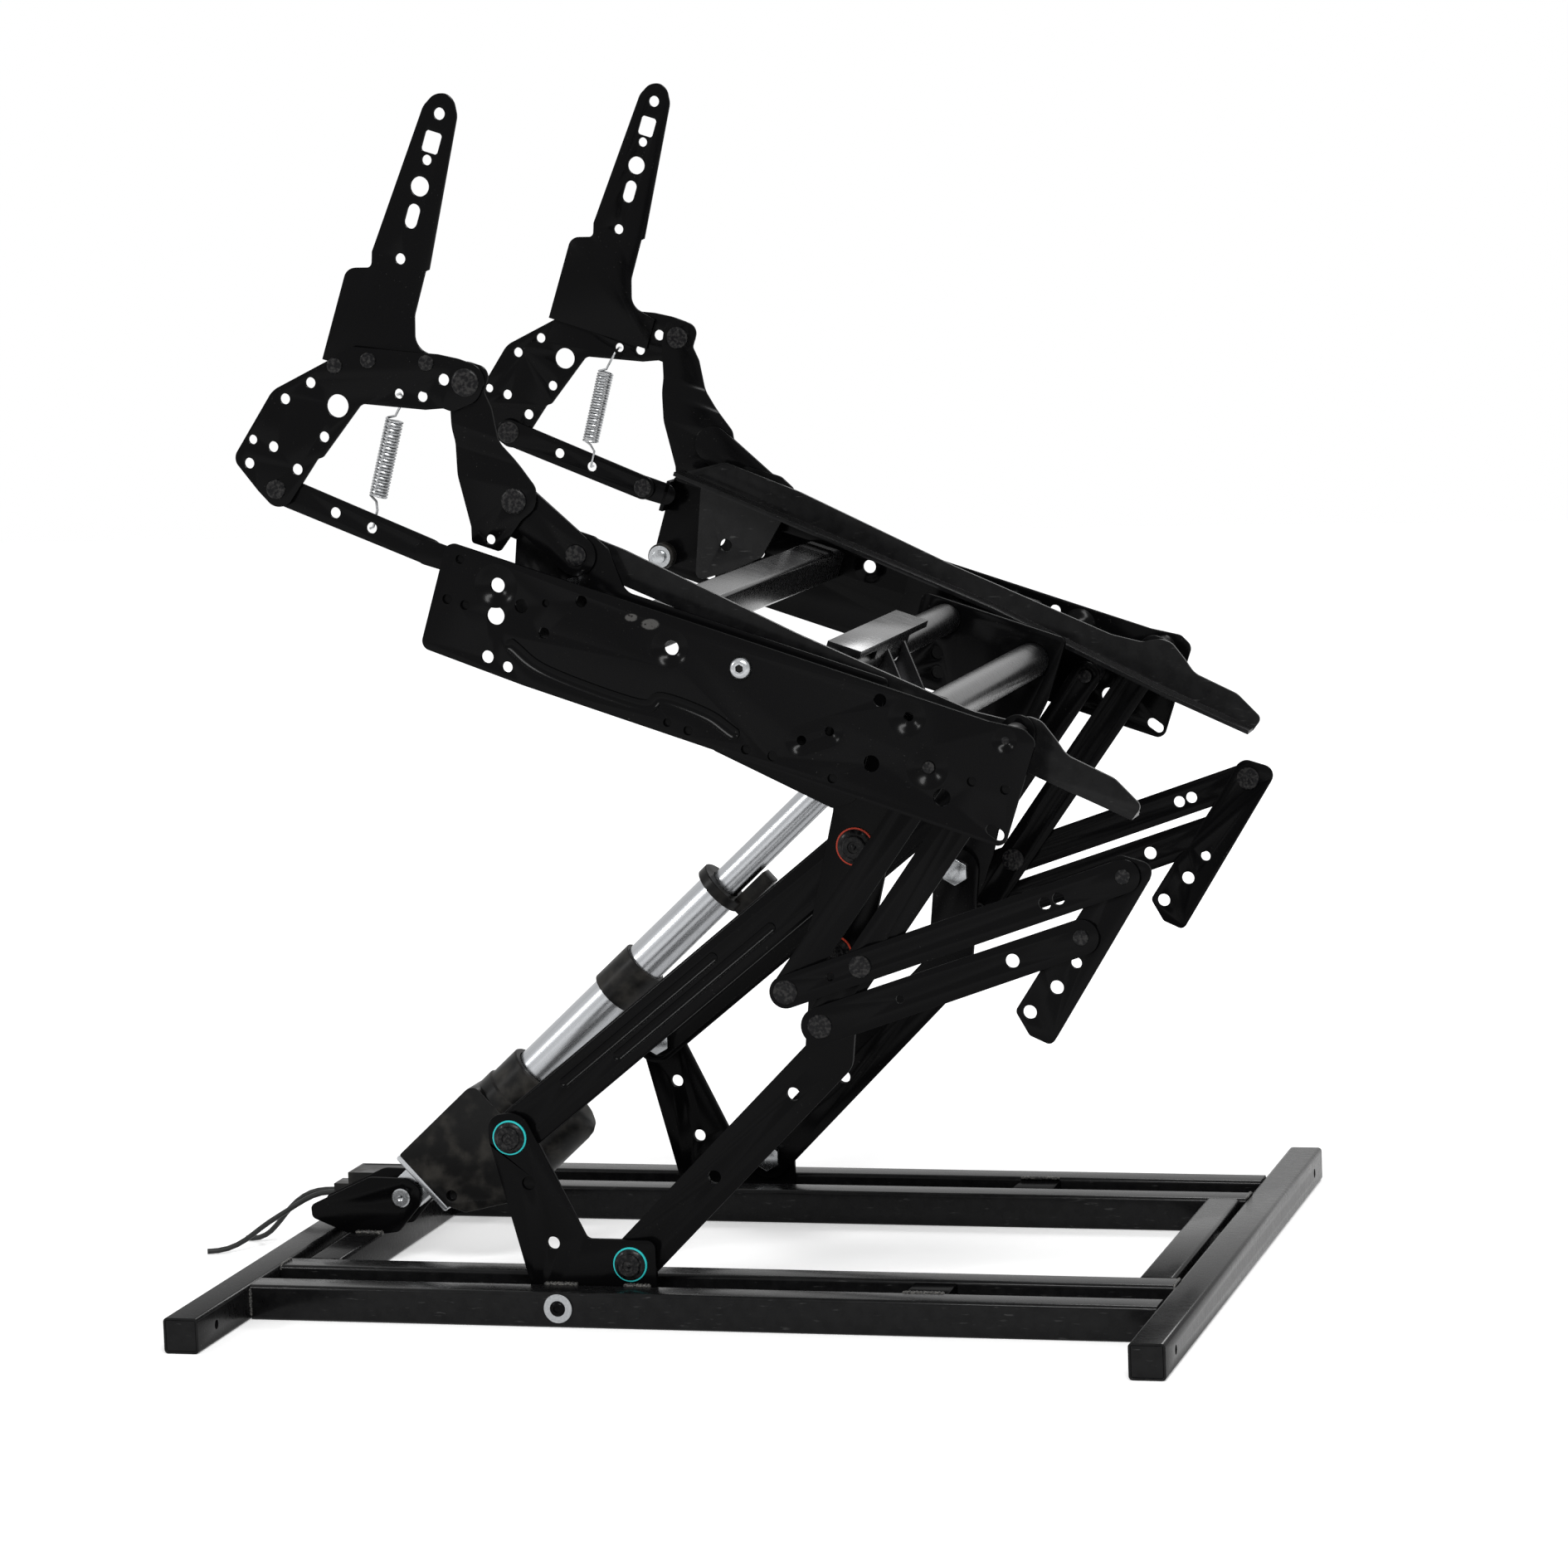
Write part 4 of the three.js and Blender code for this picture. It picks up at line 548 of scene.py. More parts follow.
dimple = rear_pivot.lerp(leg_foot, 0.26)
for hand, sign, places in (("right", 1, [upright_hole]), ("left", -1, [upright_hole, dimple])):
    holes = [(*place, 4.7 * mm) for place in places]
    upright = plate(f"upright_{hand}_sheet", upright_corners, sign * lift_layer, heavy, holes, rounded=0)
    if hand == "right":
        drilled(upright, lift_face, [dimple], 4.7 * mm, 7 * mm)
    soften(upright, heavy_edge)
    fit(upright, black_coat, "base", f"{hand}_upright")
foot_y = -outer_rail + half_tube
for name, start, end in (("heel", heel + 5 * mm, heel + 30 * mm), ("toe", toe - 24 * mm, toe - 4 * mm)):
    bead(f"{name}_weld", "base", [(start, foot_y, tube_side), (end, foot_y, tube_side)], 1.9 * mm)


# Pivot bolts
# Black shouldered bolts hold the lift arms. Each sits in a thin nylon ring, and a nut closes it inside.
rivet_grey = Finish(
    "worn_rivet_head", "black_paint", Specular_IOR_Level=0.05, Coat_Weight=0.12, Coat_Roughness=0.2
)
knock = rivet_grey.noise(2.2 * mm, 4).ramp(0.42, 0.66)
rivet_grey.paint(
    Base_Color=rivet_grey.blend(knock * 0.6, (0.0025, 0.0025, 0.003, 1), (0.03, 0.029, 0.028, 1)),
    Roughness=0.3 + 0.2 * knock,
)
rivet_grey.bump(knock, 0.1 * mm)

teal = Finish("teal_nylon", "black_plastic", Base_Color=(0.015, 0.4, 0.4, 1), Specular_IOR_Level=0.3)
red = Finish("red_nylon", "black_plastic", Base_Color=(0.48, 0.05, 0.025, 1), Specular_IOR_Level=0.2)
for ring_finish in (teal, red):
    fleck = ring_finish.noise(1.2 * mm, 2)
    ring_finish.paint(Roughness=0.32 + 0.2 * fleck)


def pin(name, finish, body, centre, start, end, radius, sides=32, rounded=0.3 * mm, fitting=fit_both):
    """A pin, bolt or nut that runs across the mechanism from start to end."""
    x, z = centre
    piece = stick((x, (start + end) / 2, z), radius, abs(end - start), sides)
    piece.name = name
    bpy.ops.object.transform_apply()
    soften(piece, rounded)
    fitting(piece, finish, body)


nut_radius = 10.5 * mm
nut_edge = 0.6 * mm


def pivot_bolt(name, body, centre, ring_finish, ring_radius, nut_face=None):
    flange = ring_radius - 1.2 * mm
    ring = washer(f"{name}_ring", centre, lift_face, ring_radius, flange, 1.4 * mm, 0.3 * mm)
    fit_both(ring, ring_finish, body)
    top = lift_face - 5.9 * mm
    head = turned(f"{name}_head", centre, [
        (0, lift_face), (flange, lift_face), (flange, top + 4.2 * mm), (flange - 0.8 * mm, top + 3.4 * mm),
        (8.3 * mm, top + 2.7 * mm), (8 * mm, top + 0.7 * mm), (7.3 * mm, top), (4.2 * mm, top),
        (3.9 * mm, top + 1 * mm), (2 * mm, top + 1.3 * mm), (1.2 * mm, top + 0.8 * mm), (0, top + 0.7 * mm),
    ])
    fit_both(head, rivet_grey, body)
    if nut_face:
        pin(f"{name}_shank", zinc, body, centre, lift_face, nut_face + 5 * mm, 6 * mm)
        pin(f"{name}_nut", zinc, body, centre, nut_face, nut_face + 7 * mm, nut_radius, 6, nut_edge)


slack = 0.3 * mm
arm_outer = lift_layer + heavy / 2 + slack
web_face = -182.7 * mm
flat_face = -181.2 * mm
pivot_bolt("rear_pivot", "base", rear_pivot, teal, 12.3 * mm, web_face)
pivot_bolt("front_pivot", "base", front_pivot, teal, 12.3 * mm, flat_face)


# Rear lift arms
# Each is a channel pressed from 3.5 mm strip, open inwards, its web stiffened by two long beads.


def groove(piece, points, face, width, depth):
    """Presses a round-bottomed groove along points of the near face, with round ends."""
    half = width / 2
    radius = (half ** 2 + depth ** 2) / (2 * depth)
    places = [Vector((x, face - radius + depth, z)) for x, z in points]
    first = places[0] + (places[0] - places[1])
    last = places[-1] + (places[-1] - places[-2])
    knots = [first, *places, last]
    path = [places[0]]
    for a, b, c, d in zip(knots, knots[1:], knots[2:], knots[3:]):
        path += interpolate_bezier(b, b + (c - a) / 6, c - (d - b) / 6, c, 9)[1:]
    start_run = (path[0] - path[1]).normalized() * radius
    end_run = (path[-1] - path[-2]).normalized() * radius
    turns = [math.pi / 2 * k / 6 for k in range(1, 7)]
    line = [(path[0] + start_run * math.sin(t), math.cos(t) + 0.03) for t in reversed(turns)]
    line += [(place, 1) for place in path]
    line += [(path[-1] + end_run * math.sin(t), math.cos(t) + 0.03) for t in turns]
    cut(piece, [drawn("groove", line, radius, 10)], folded=True)


lift_angle = 38.8
seat_pivot = polar(rear_pivot, 330 * mm, lift_angle)
arm_half = 16.5 * mm
bolt_hole = 6.3 * mm
arm_wall = 3.5 * mm
arm_depth = 10 * mm
arm = plate(
    "rear_lift_arm", link_line(rear_pivot, seat_pivot, arm_half), arm_outer + arm_depth / 2, arm_depth,
    rounded=0
)
activate(arm, edit=True)
choose(lambda a, b: max(a.y, b.y) < arm_outer + 0.01 * mm)
bpy.ops.mesh.bevel(offset=2.4 * mm, segments=5)
bpy.ops.object.mode_set(mode="OBJECT")
pocket_line = link_line(rear_pivot, seat_pivot, arm_half - arm_wall)
cut(arm, [plate("pocket", pocket_line, arm_outer + arm_wall + arm_depth / 2, arm_depth, rounded=0)])
drilled(arm, arm_outer, [rear_pivot, seat_pivot], bolt_hole, 30 * mm)
along_arm = (seat_pivot - rear_pivot).normalized()
across_arm = Vector((-along_arm.y, along_arm.x))
for start, end, side in ((0.17, 0.6, 5 * mm), (0.3, 0.74, -5 * mm)):
    line = [rear_pivot.lerp(seat_pivot, share) + across_arm * side for share in (start, end)]
    groove(arm, line, arm_outer, 7.6 * mm, 1.7 * mm)
soften(arm, 0.3 * mm)
fit_both(arm, black_coat, "rear_lift_arms", "rear_lift_arm")


# Front lift arms
# Flat 5 mm bar with an elbow, laser cut, and two tooling holes along its long limb.
seat_lean = math.radians(18.5)


def seat(u, w):
    """A point of the side view, given along the seat and square to it from the upper lift pivot."""
    run = Vector((math.cos(seat_lean), -math.sin(seat_lean)))
    rise = Vector((math.sin(seat_lean), math.cos(seat_lean)))
    return seat_pivot + u * run + w * rise


bar_half = 17 * mm
elbow = polar(front_pivot, 209 * mm, 45.2)
low_drop = 76.6 * mm
low_seat = Vector((low_drop * math.sin(math.radians(5)), -low_drop * math.cos(math.radians(5))))
low_pivot = seat(*low_seat)
bar_layer = arm_outer + heavy / 2
tooling_hole = 4.8 * mm
bar_holes = [front_pivot.lerp(elbow, share) for share in (0.42, 0.82)]
limb = plate(
    "front_lift_arm", link_line(front_pivot, elbow, bar_half), bar_layer, heavy, [(*front_pivot, bolt_hole)],
    rounded=0
)
neck = plate("neck", link_line(elbow, low_pivot, bar_half), bar_layer, heavy, rounded=0)
cut(limb, [neck], "UNION")
drilled(limb, bar_layer, bar_holes, tooling_hole, 4 * heavy)
soften(limb, heavy_edge)
fit_both(limb, black_coat, "front_lift_arms", "front_lift_arm")
pin(
    "low_pivot_nut", zinc, "front_lift_arms", low_pivot, flat_face - 0.6 * mm, flat_face + 6.7 * mm,
    nut_radius, 6, nut_edge
)


# Side plates
# Pressed 3.2 mm sheet closes each flank of the seat frame. Domes and an oblong dish are pressed inwards,
# and a wavy groove stiffens it between them.
side_length = 425 * mm
side_height = 78 * mm
side_sheet = 3.2 * mm
side_face = -280.8 * mm
side_inner = side_face + side_sheet
side_layer = side_face + side_sheet / 2


def side_seat(along, up):
    return Vector((-311 * mm + along * side_length, 51 * mm + up * side_height))


def side_spot(along, up):
    return seat(*side_seat(along, up))


flare = 2.6 * mm
deepest = 4.2 * mm


def dome(name, centre, face, radius, hole, sheet):
    """A round dish with cone-like walls, pressed inwards, whose rim lies flush in a hole of rim radius."""
    rim = radius + flare
    floor_radius = max(0.3 * radius, hole)
    steps = [i / 12 for i in range(13)]
    depth = min(0.47 * (rim - floor_radius), deepest)
    dish_wall = [
        (rim + (floor_radius - rim) * s, depth * (s - math.sin(2 * math.pi * s) / 24)) for s in steps
    ]
    if hole < floor_radius:
        dish_wall.append((hole, depth))
    profile = [(r, face + d) for r, d in reversed(dish_wall)] + [(r, face + d + sheet) for r, d in dish_wall]
    if hole:
        profile.append(profile[0])
    return turned(name, centre, profile, 48)


footrest_top = side_seat(0.952, 0.881)
footrest_lean = 37.3
footrest_rear = polar(footrest_top, -55.8 * mm, footrest_lean)
corner = side_height / 12
side_corners = [
    (0.004, 0.04), (0.185, 0.008), (1, 0), (1, 0.96), (0.975, 1.03), (0.92, 1), (0, 1),
]
side_holes = [
    (0.11, 0.514, 6.3), (0.147, 0.667, 4.8), (0.239, 0.871, 4.0), (0.194, 0.505, 3.8), (0.115, 0.146, 4.4),
    (0.151, 0.117, 3.8), (0.605, 0.119, 3.4), (0.76, 0.331, 5.6), (0.745, 0.877, 4.4), (0.883, 0.247, 5.9),
]
blind_holes = [
    (0.029, 0.887, 3.1), (0.026, 0.518, 3.4), (0.057, 0.519, 3.4), (0.184, 0.758, 2.6), (0.427, 0.104, 2.9),
    (0.463, 0.095, 3.3), (0.561, 0.1, 3.4), (0.707, 0.101, 3.3), (0.921, 0.46, 3.3), (0.975, 0.485, 3.3),
]
domes = [
    ("rear_dome", side_spot(0.097, 0.763), 12.4, 5.1), ("middle_dome", side_spot(0.398, 0.726), 10.6, 5.1),
    ("front_dome", side_spot(0.794, 0.81), 10.4, 3.3), ("lower_stud_dome", seat(*footrest_rear), 11.8, 0),
    ("upper_stud_dome", seat(*footrest_top), 5.9, 0),
]
window_ends = [side_spot(0.979, 0.106) + s * Vector((2.4, -1.78)) * mm for s in (-1, 1)]
side = plate(
    "side_plate", [(*side_spot(*place), corner) for place in side_corners], side_layer, side_sheet,
    [(*side_spot(along, up), radius * mm) for along, up, radius in side_holes], rounded=0,
    windows=[link_line(*window_ends, 3.9 * mm)],
)
rib_path = [(0.149, 0.31), (0.217, 0.187), (0.375, 0.168), (0.408, 0.286), (0.486, 0.276), (0.534, 0.199)]
groove(side, [side_spot(*place) for place in rib_path], side_face, 9.5 * mm, 2.1 * mm)
dish_ends = [side_spot(0.641, 0.321), side_spot(0.68, 0.473)]
soften(side, heavy_edge)
for along, up, radius in blind_holes:
    drilled(side, side_face, [side_spot(along, up)], radius * mm, 5.4 * mm)
dish_radius = 7.6 * mm
dish_line = link_line(*dish_ends, dish_radius + flare)
cut(side, [plate("dish_opening", dish_line, side_layer, 3 * side_sheet, rounded=0)])
for name, centre, radius, hole in domes:
    drilled(side, side_layer, [centre], radius * mm + flare, 3 * side_sheet)
soften(side, 0)
dish_centre = dish_ends[0].lerp(dish_ends[1], 0.5)
dish_half = (dish_ends[1] - dish_ends[0]) / 2
dish = dome("dish", dish_centre, side_face, dish_radius, 0, side_sheet)
activate(dish, edit=True)
for sign in (-1, 1):
    choose(lambda p: sign * dish_half.dot(Vector((p.x, p.z)) - dish_centre) > -sign * 1e-12, "verts")
    bpy.ops.transform.translate(value=(sign * dish_half.x, 0, sign * dish_half.y))
bpy.ops.object.mode_set(mode="OBJECT")
drilled(dish, side_face + 6 * mm, dish_ends, 3.2 * mm, 14 * mm)
fit_both(dish, black_coat, "seat_frame")
fit_both(side, black_coat, "seat_frame", "side_plate")
for name, centre, radius, hole in domes:
    pressed = dome(name, centre, side_face, radius * mm, hole * mm, side_sheet)
    fit_both(pressed, black_coat, "seat_frame")

# Dusty black moulded plastic: the rollers, gear housing, motor, clamp, end ring and junction box.
plastic = Finish(
    "dusty_black_plastic", "black_plastic", Specular_IOR_Level=0.1, Coat_Weight=0.08, Coat_Roughness=0.3
)
stipple = plastic.noise(0.6 * mm, 2)
film = plastic.noise(16 * mm, 5).ramp(0.42, 0.75)
plastic.paint(
    Base_Color=plastic.blend(film * 0.45, (0.0022, 0.0022, 0.0022, 1), (0.052, 0.048, 0.042, 1)),
    Roughness=0.36 + 0.25 * film,
)
plastic.bump(stipple, 0.03 * mm)

# A bright button screw near the middle, with a hexagon socket, holds the side plate to its inner plate.
torque_seat = Vector((-56.85, 103.03)) * mm
screw_seat = torque_seat + Vector((-34.42, 7.25)) * mm
screw = socket_bolt("side_screw", seat(*screw_seat), side_face, 7.7 * mm, 4.4 * mm, 2.9 * mm)
fit_both(screw, zinc, "seat_frame")
# Painted shade: a thin dark plastic plug on the socket's floor stands in for the shade in the socket.
socket_floor = side_face - 2.2 * mm
pin(
    "painted_socket_shade", plastic, "seat_frame", seat(*screw_seat), socket_floor - 0.8 * mm,
    socket_floor + 0.1 * mm, 2.85 * mm, 6, 0
)

# The ear behind each side plate is a folded tab with a stud for the lower bar of the back linkage.
recline_layer = -261.7 * mm
back_layer = -258.4 * mm
sheet = 3 * mm
half_link = sheet / 2 + slack
rear_corner = side_seat(0, 1)
hanger_pivot = rear_corner + Vector((-16, -15)) * mm
ear_line = link_line(
    seat(*hanger_pivot), seat(rear_corner.x + side_sheet / 2, hanger_pivot.y), 9 * mm, 8 * mm
)
ear = plate("hanger_ear", ear_line, recline_layer, sheet)
fit_both(ear, black_coat, "seat_frame")


def seat_box(anchor, left, right, low, high):
    """Corners of a rectangle that lies along the seat, by its reaches from an anchor."""
    reaches = ((left, low), (right, low), (right, high), (left, high))
    return [seat(anchor.x + u, anchor.y + w) for u, w in reaches]


tab_line = seat_box(rear_corner, 0, side_sheet, -4.5 * mm, -28.5 * mm)
tab_depth = recline_layer - side_inner + sheet / 2
tab = plate("hanger_tab", tab_line, side_inner + tab_depth / 2, tab_depth)
fit_both(tab, black_coat, "seat_frame")
pin(
    "hanger_stud", rivet_grey, "seat_frame", seat(*hanger_pivot), recline_layer, back_layer + 3.3 * mm, 4 * mm
)


def rivet_head(name, body, centre, face, radius, outwards=True, height=1.7 * mm):
    """An upset head, slightly dished, on the near side of a face or on the far side of it."""
    sign = -1 if outwards else 1
    head = turned(name, centre, [
        (0, face), (radius, face), (radius, face + sign * height * 0.45),
        (radius * 0.94, face + sign * height * 0.8),
        (radius * 0.78, face + sign * height), (radius * 0.4, face + sign * height * 0.86),
        (0, face + sign * height * 0.8),
    ])
    fit_both(head, rivet_grey, body)


rivet_head("hanger_head", "seat_frame", seat(*hanger_pivot), back_layer + half_link, 7 * mm, outwards=False)

# A black roller on a stud, with a zinc washer, guides the lower bar inside each side plate.
roller_place = side_spot(0.027, 0.2)
roller_bore = 5.2 * mm
roller_radius = 10 * mm
roller_near = side_inner + 6 * mm
roller_far = side_inner + 18 * mm
bevel = 0.6 * mm
roller = turned("roller", roller_place, [
    (roller_bore, roller_near), (roller_radius - bevel, roller_near), (roller_radius, roller_near + bevel),
    (roller_radius, roller_far - bevel), (roller_radius - bevel, roller_far), (roller_bore, roller_far),
    (roller_bore, roller_near),
])
fit_both(roller, plastic, "seat_frame")
shank_radius = 5 * mm
pin("roller_stud", zinc, "seat_frame", roller_place, side_inner, side_inner + 24 * mm, shank_radius)
roller_washer = washer(
    "roller_washer", roller_place, side_inner + 20.4 * mm, 8.6 * mm, shank_radius, 2.2 * mm
)
fit_both(roller_washer, zinc, "seat_frame")


# Seat rails
# Rolled angle in thinner sheet carries the seat box on its inward flange. A bracket hangs at its rear end.
rail_layer = -232.5 * mm
rail_length_top = 482 * mm


def spread(anchor, size, shares):
    """Corners (x, z, radius) from shares of a size round an anchor that lies on the seat."""
    return [
        (*seat(anchor.x + s[0] * size, anchor.y + s[1] * size), *(r * size for r in s[2:])) for s in shares
    ]


bottom_line = [(-0.806, 0.038), (-0.256, -0.0098), (0.045, -0.053), (0.186, -0.068)]
top_line = [
    (0.194, -0.045, 0.01), (0.146, -0.02, 0.03), (0.072, -0.01, 0.03), (0.053, 0.005, 0.02),
    (0.025, 0.024, 0.02),
    (0.007, 0.025, 0.02), (-0.008, 0.018, 0.02), (-0.02, 0.011, 0.02), (-0.07, 0.007, 0.06),
    (-0.341, 0.033, 0.1), (-0.613, 0.069, 0.1), (-0.742, 0.077, 0.02),
]
rail = plate(
    "seat_rail", spread(footrest_top, rail_length_top, bottom_line + top_line), rail_layer, sheet, rounded=0
)
lift_share = sheet / rail_length_top
flange_line = bottom_line + [(u, w + lift_share) for u, w in reversed(bottom_line)]
flange_depth = 24 * mm
flange = plate(
    "flange", spread(footrest_top, rail_length_top, flange_line),
    rail_layer - sheet / 2 + flange_depth / 2, flange_depth, rounded=0,
)
bracket_line = [
    (-0.773, 0.05, 0.006), (-0.622, 0.034, 0.006), (-0.642, -0.05, 0.006), (-0.683, -0.085, 0.006),
    (-0.735, -0.12, 0.012),
]
bracket = plate("bracket", spread(footrest_top, rail_length_top, bracket_line), rail_layer, sheet, rounded=0)
cut(rail, [flange], "UNION")
cut(rail, [bracket], "UNION")
bracket_hole = seat(*(footrest_top + Vector((-0.703, -0.049)) * rail_length_top))
drilled(rail, rail_layer, [bracket_hole], tooling_hole, 4 * sheet)
soften(rail, 0.5 * mm, 3)
fit_both(rail, sheen_coat, "seat_frame", "seat_rail")
link_rivet = side_seat(0.191, 1.164)
inner_layer = -245.2 * mm
pin("rail_standoff", zinc, "seat_frame", seat(*link_rivet), rail_layer, inner_layer + half_link, 7 * mm)


# Inner plates
# A second sheet inside each side plate holds the torque tube and the rear link's rivet, on spacer pins.
rear_tube_seat = side_seat(0.316, 0.665)
front_tube_seat = Vector((14.55, 93.12)) * mm
strip_low = rear_tube_seat.y + tube_side / 2 + 2 * mm
strip_high = strip_low + 10.5 * mm
lobe = 106 * mm
lobe_drop = 71 * mm
lobe_front = torque_seat.x + lobe * 0.55
lobe_back = torque_seat.x - lobe * 0.45
lobe_low = torque_seat.y - lobe_drop
link_width = 28 * mm
crown = link_rivet.y + 10.5 * mm
turn_radius = 5.2 * mm
inner_corners = [
    (lobe_back, strip_low, 0), (lobe_back, lobe_low + lobe_drop * 0.17, turn_radius),
    (lobe_front - lobe * 0.12, lobe_low, turn_radius), (lobe_front, lobe_low + lobe_drop * 0.12, turn_radius),
    (lobe_front, strip_high, turn_radius), (link_rivet.x + link_width * 1.4, strip_high, 2 * turn_radius),
    (link_rivet.x + link_width * 0.7, crown, turn_radius),
    (link_rivet.x + link_width * 0.3, crown + turn_radius, turn_radius),
    (link_rivet.x - link_width * 0.9, crown + turn_radius, turn_radius),
    (link_rivet.x - link_width * 0.2, strip_low, turn_radius),
]
inner = plate(
    "inner_plate", [(*seat(u, w), radius) for u, w, radius in inner_corners], inner_layer, sheet,
    [(*seat(*torque_seat), 12.1 * mm)],
)
fit_both(inner, black_coat, "seat_frame", "inner_plate")
spacer_seats = (screw_seat, side_seat(0.2, 0.91), torque_seat + Vector((0.249, 0.098)) * lobe)
for i, place in enumerate(spacer_seats):
    pin(
        f"inner_spacer_{i + 1}", zinc, "seat_frame", seat(*place), inner_layer, side_inner + slack,
        shank_radius
    )
rear_link_layer = -248.5 * mm
link_end = rear_link_layer - half_link
pin(
    "rear_link_rivet", rivet_grey, "seat_frame", seat(*link_rivet), inner_layer - 1.2 * mm, link_end,
    shank_radius
)
rivet_head("rear_link_head", "seat_frame", seat(*link_rivet), link_end, 7.2 * mm)


# Cross members
# A square tube behind and two round tubes ahead of it tie the flanks together under bright, rubbed paint.


def leaned(piece, stand):
    piece.matrix_world = stand
    activate(piece)
    bpy.ops.object.transform_apply()
    return piece


def seat_stand(place):
    """The matrix that stands a piece at a place of the side view, tilted with the seat."""
    return Matrix.Translation((place.x, 0, place.y)) @ Matrix.Rotation(seat_lean, 4, "Y")


square_length = 554.6 * mm
square = square_tube("rear_square_tube", (0, 0, 0), square_length, "y")
leaned(square, seat_stand(seat(*rear_tube_seat)))

bright_coat = Finish("rubbed_steel_tube", "dark_steel", Specular_IOR_Level=0.4)
rubbed = bright_coat.noise(11 * mm, 3, (1, 0.3, 1))
scratches = bright_coat.noise(1.6 * mm, 3, (8, 1, 1)).ramp(0.6, 0.8)
bright_coat.paint(
    Base_Color=bright_coat.blend(
        rubbed * 0.8 + scratches * 0.2, (0.005, 0.005, 0.006, 1), (0.036, 0.036, 0.037, 1)
    ),
    Roughness=0.2 + 0.12 * rubbed,
    Metallic=0.6 + 0.3 * rubbed,
)
bright_coat.bump(rubbed, 0.05 * mm)
fit(square, bright_coat, "seat_frame", "rear_cross_member")

wall = 2.5 * mm
deep = 30 * mm
end_edge = 0.3 * mm
for name, place, radius, reach in (
    ("torque_tube", torque_seat, 11.5 * mm, 246.7 * mm),
    ("front_round_tube", front_tube_seat, 13.5 * mm, 201 * mm)
):
    tube = turned(name.replace("round", "cross") + "_steel", seat(*place), [
        (0, reach - deep), (radius - wall, reach - deep), (radius - wall, reach), (radius - end_edge, reach),
        (radius, reach - end_edge), (radius, end_edge - reach), (radius - end_edge, -reach),
        (radius - wall, -reach), (radius - wall, deep - reach), (0, deep - reach),
    ], 56)
    fit(tube, bright_coat, "seat_frame", name)


# Lift plates
# Heavy plates hang from the round tubes, welded on, and hold the two moving lift pivots in red rings.
half_lift = 22 * mm
plate_top = torque_seat.y + half_lift * 0.65
plate_left = torque_seat.x - half_lift
plate_right = front_tube_seat.x + half_lift * 0.95
plate_shoulder = torque_seat.y - half_lift * 2.5
lift_corners = [
    (plate_left, plate_top, 0.25), (plate_left, plate_shoulder, 0.25),
    (-half_lift * 1.6, plate_shoulder, 0.5),
    (-half_lift, half_lift * 0.9, 0.5), (low_seat.x - half_lift, low_seat.y + half_lift, 1),
    (low_seat.x - half_lift, low_seat.y - half_lift, 1.15),
    (low_seat.x + half_lift, low_seat.y - half_lift, 1.15),
    (low_seat.x + half_lift, low_seat.y + half_lift, 0.5), (half_lift * 1.1, 0, 0.5),
    (plate_right, front_tube_seat.y - half_lift, 0.5), (plate_right, plate_top, 0.25),
]
lift_holes = [
    (*seat(*torque_seat), 11.8 * mm), (*seat(*front_tube_seat), 13.8 * mm),
    (*seat(torque_seat.x + half_lift * 0.05, torque_seat.y - half_lift * 1.22), tooling_hole),
    (*seat(torque_seat.x + half_lift * 0.26, torque_seat.y - half_lift * 1.86), tooling_hole),
]
lift_plate = plate(
    "lift_plate", [(*seat(u, w), share * half_lift) for u, w, share in lift_corners],
    lift_layer, heavy, lift_holes, heavy_edge,
)
fit_both(lift_plate, black_coat, "seat_frame", "lift_plate")
pivot_bolt("upper_pivot", "seat_frame", seat_pivot, red, 13.3 * mm, web_face)
pivot_bolt("lower_pivot", "seat_frame", low_pivot, red, 13.3 * mm)


# Yoke
# Two short arms and a strap with a front lip, welded to the torque tube. The arms take the end of the
# drive's rod between them, on two zinc bolts.
clevis_place = Vector((-269.6, 53.1)) * mm
drive_lean = math.radians(42.6)
drive_side = -28 * mm
drive_length = 529 * mm
half_strap = 12.5 * mm
rod_end = polar(clevis_place, drive_length, math.degrees(drive_lean))
yoke_sheet = 4 * mm
yoke_gap = 45 * mm
tube_hole = 12.1 * mm
seat_block = seat_box(torque_seat, -half_strap, half_strap, 0, tube_hole)
yoke_parts = []
for sign in (-1, 1):
    layer = drive_side + sign * (yoke_gap + yoke_sheet) / 2
    arm = plate(
        "yoke_arm", link_line(seat(*torque_seat), rod_end, 16.9 * mm, 10.4 * mm), layer, yoke_sheet, rounded=0
    )
    cut(arm, [plate("yoke_seat", seat_block, layer, yoke_sheet, rounded=0)], "UNION")
    drilled(arm, layer, [seat(*torque_seat)], tube_hole, 3 * yoke_sheet)
    yoke_parts.append(arm)
    face = layer + sign * yoke_sheet / 2
    pin("yoke_bolt", zinc, "seat_frame", rod_end, face, face + sign * 4.5 * mm, 8.8 * mm, 6, 0.7 * mm, fit)
strap_line = seat_box(torque_seat, -half_strap, half_strap, tube_hole, tube_hole + 5.1 * mm)
strap_side = drive_side - 12 * mm
strap = plate("yoke_strap", strap_line, strap_side, 200 * mm, rounded=0)
lip_line = seat_box(torque_seat, half_strap - sheet, half_strap, tube_hole + sheet, 5 * mm)
cut(strap, [plate("yoke_lip", lip_line, strap_side, 96 * mm, rounded=0)], "UNION")
yoke = joined("yoke", yoke_parts + [strap])
soften(yoke, 0.4 * mm)
fit(yoke, bright_coat, "seat_frame", "actuator_yoke")


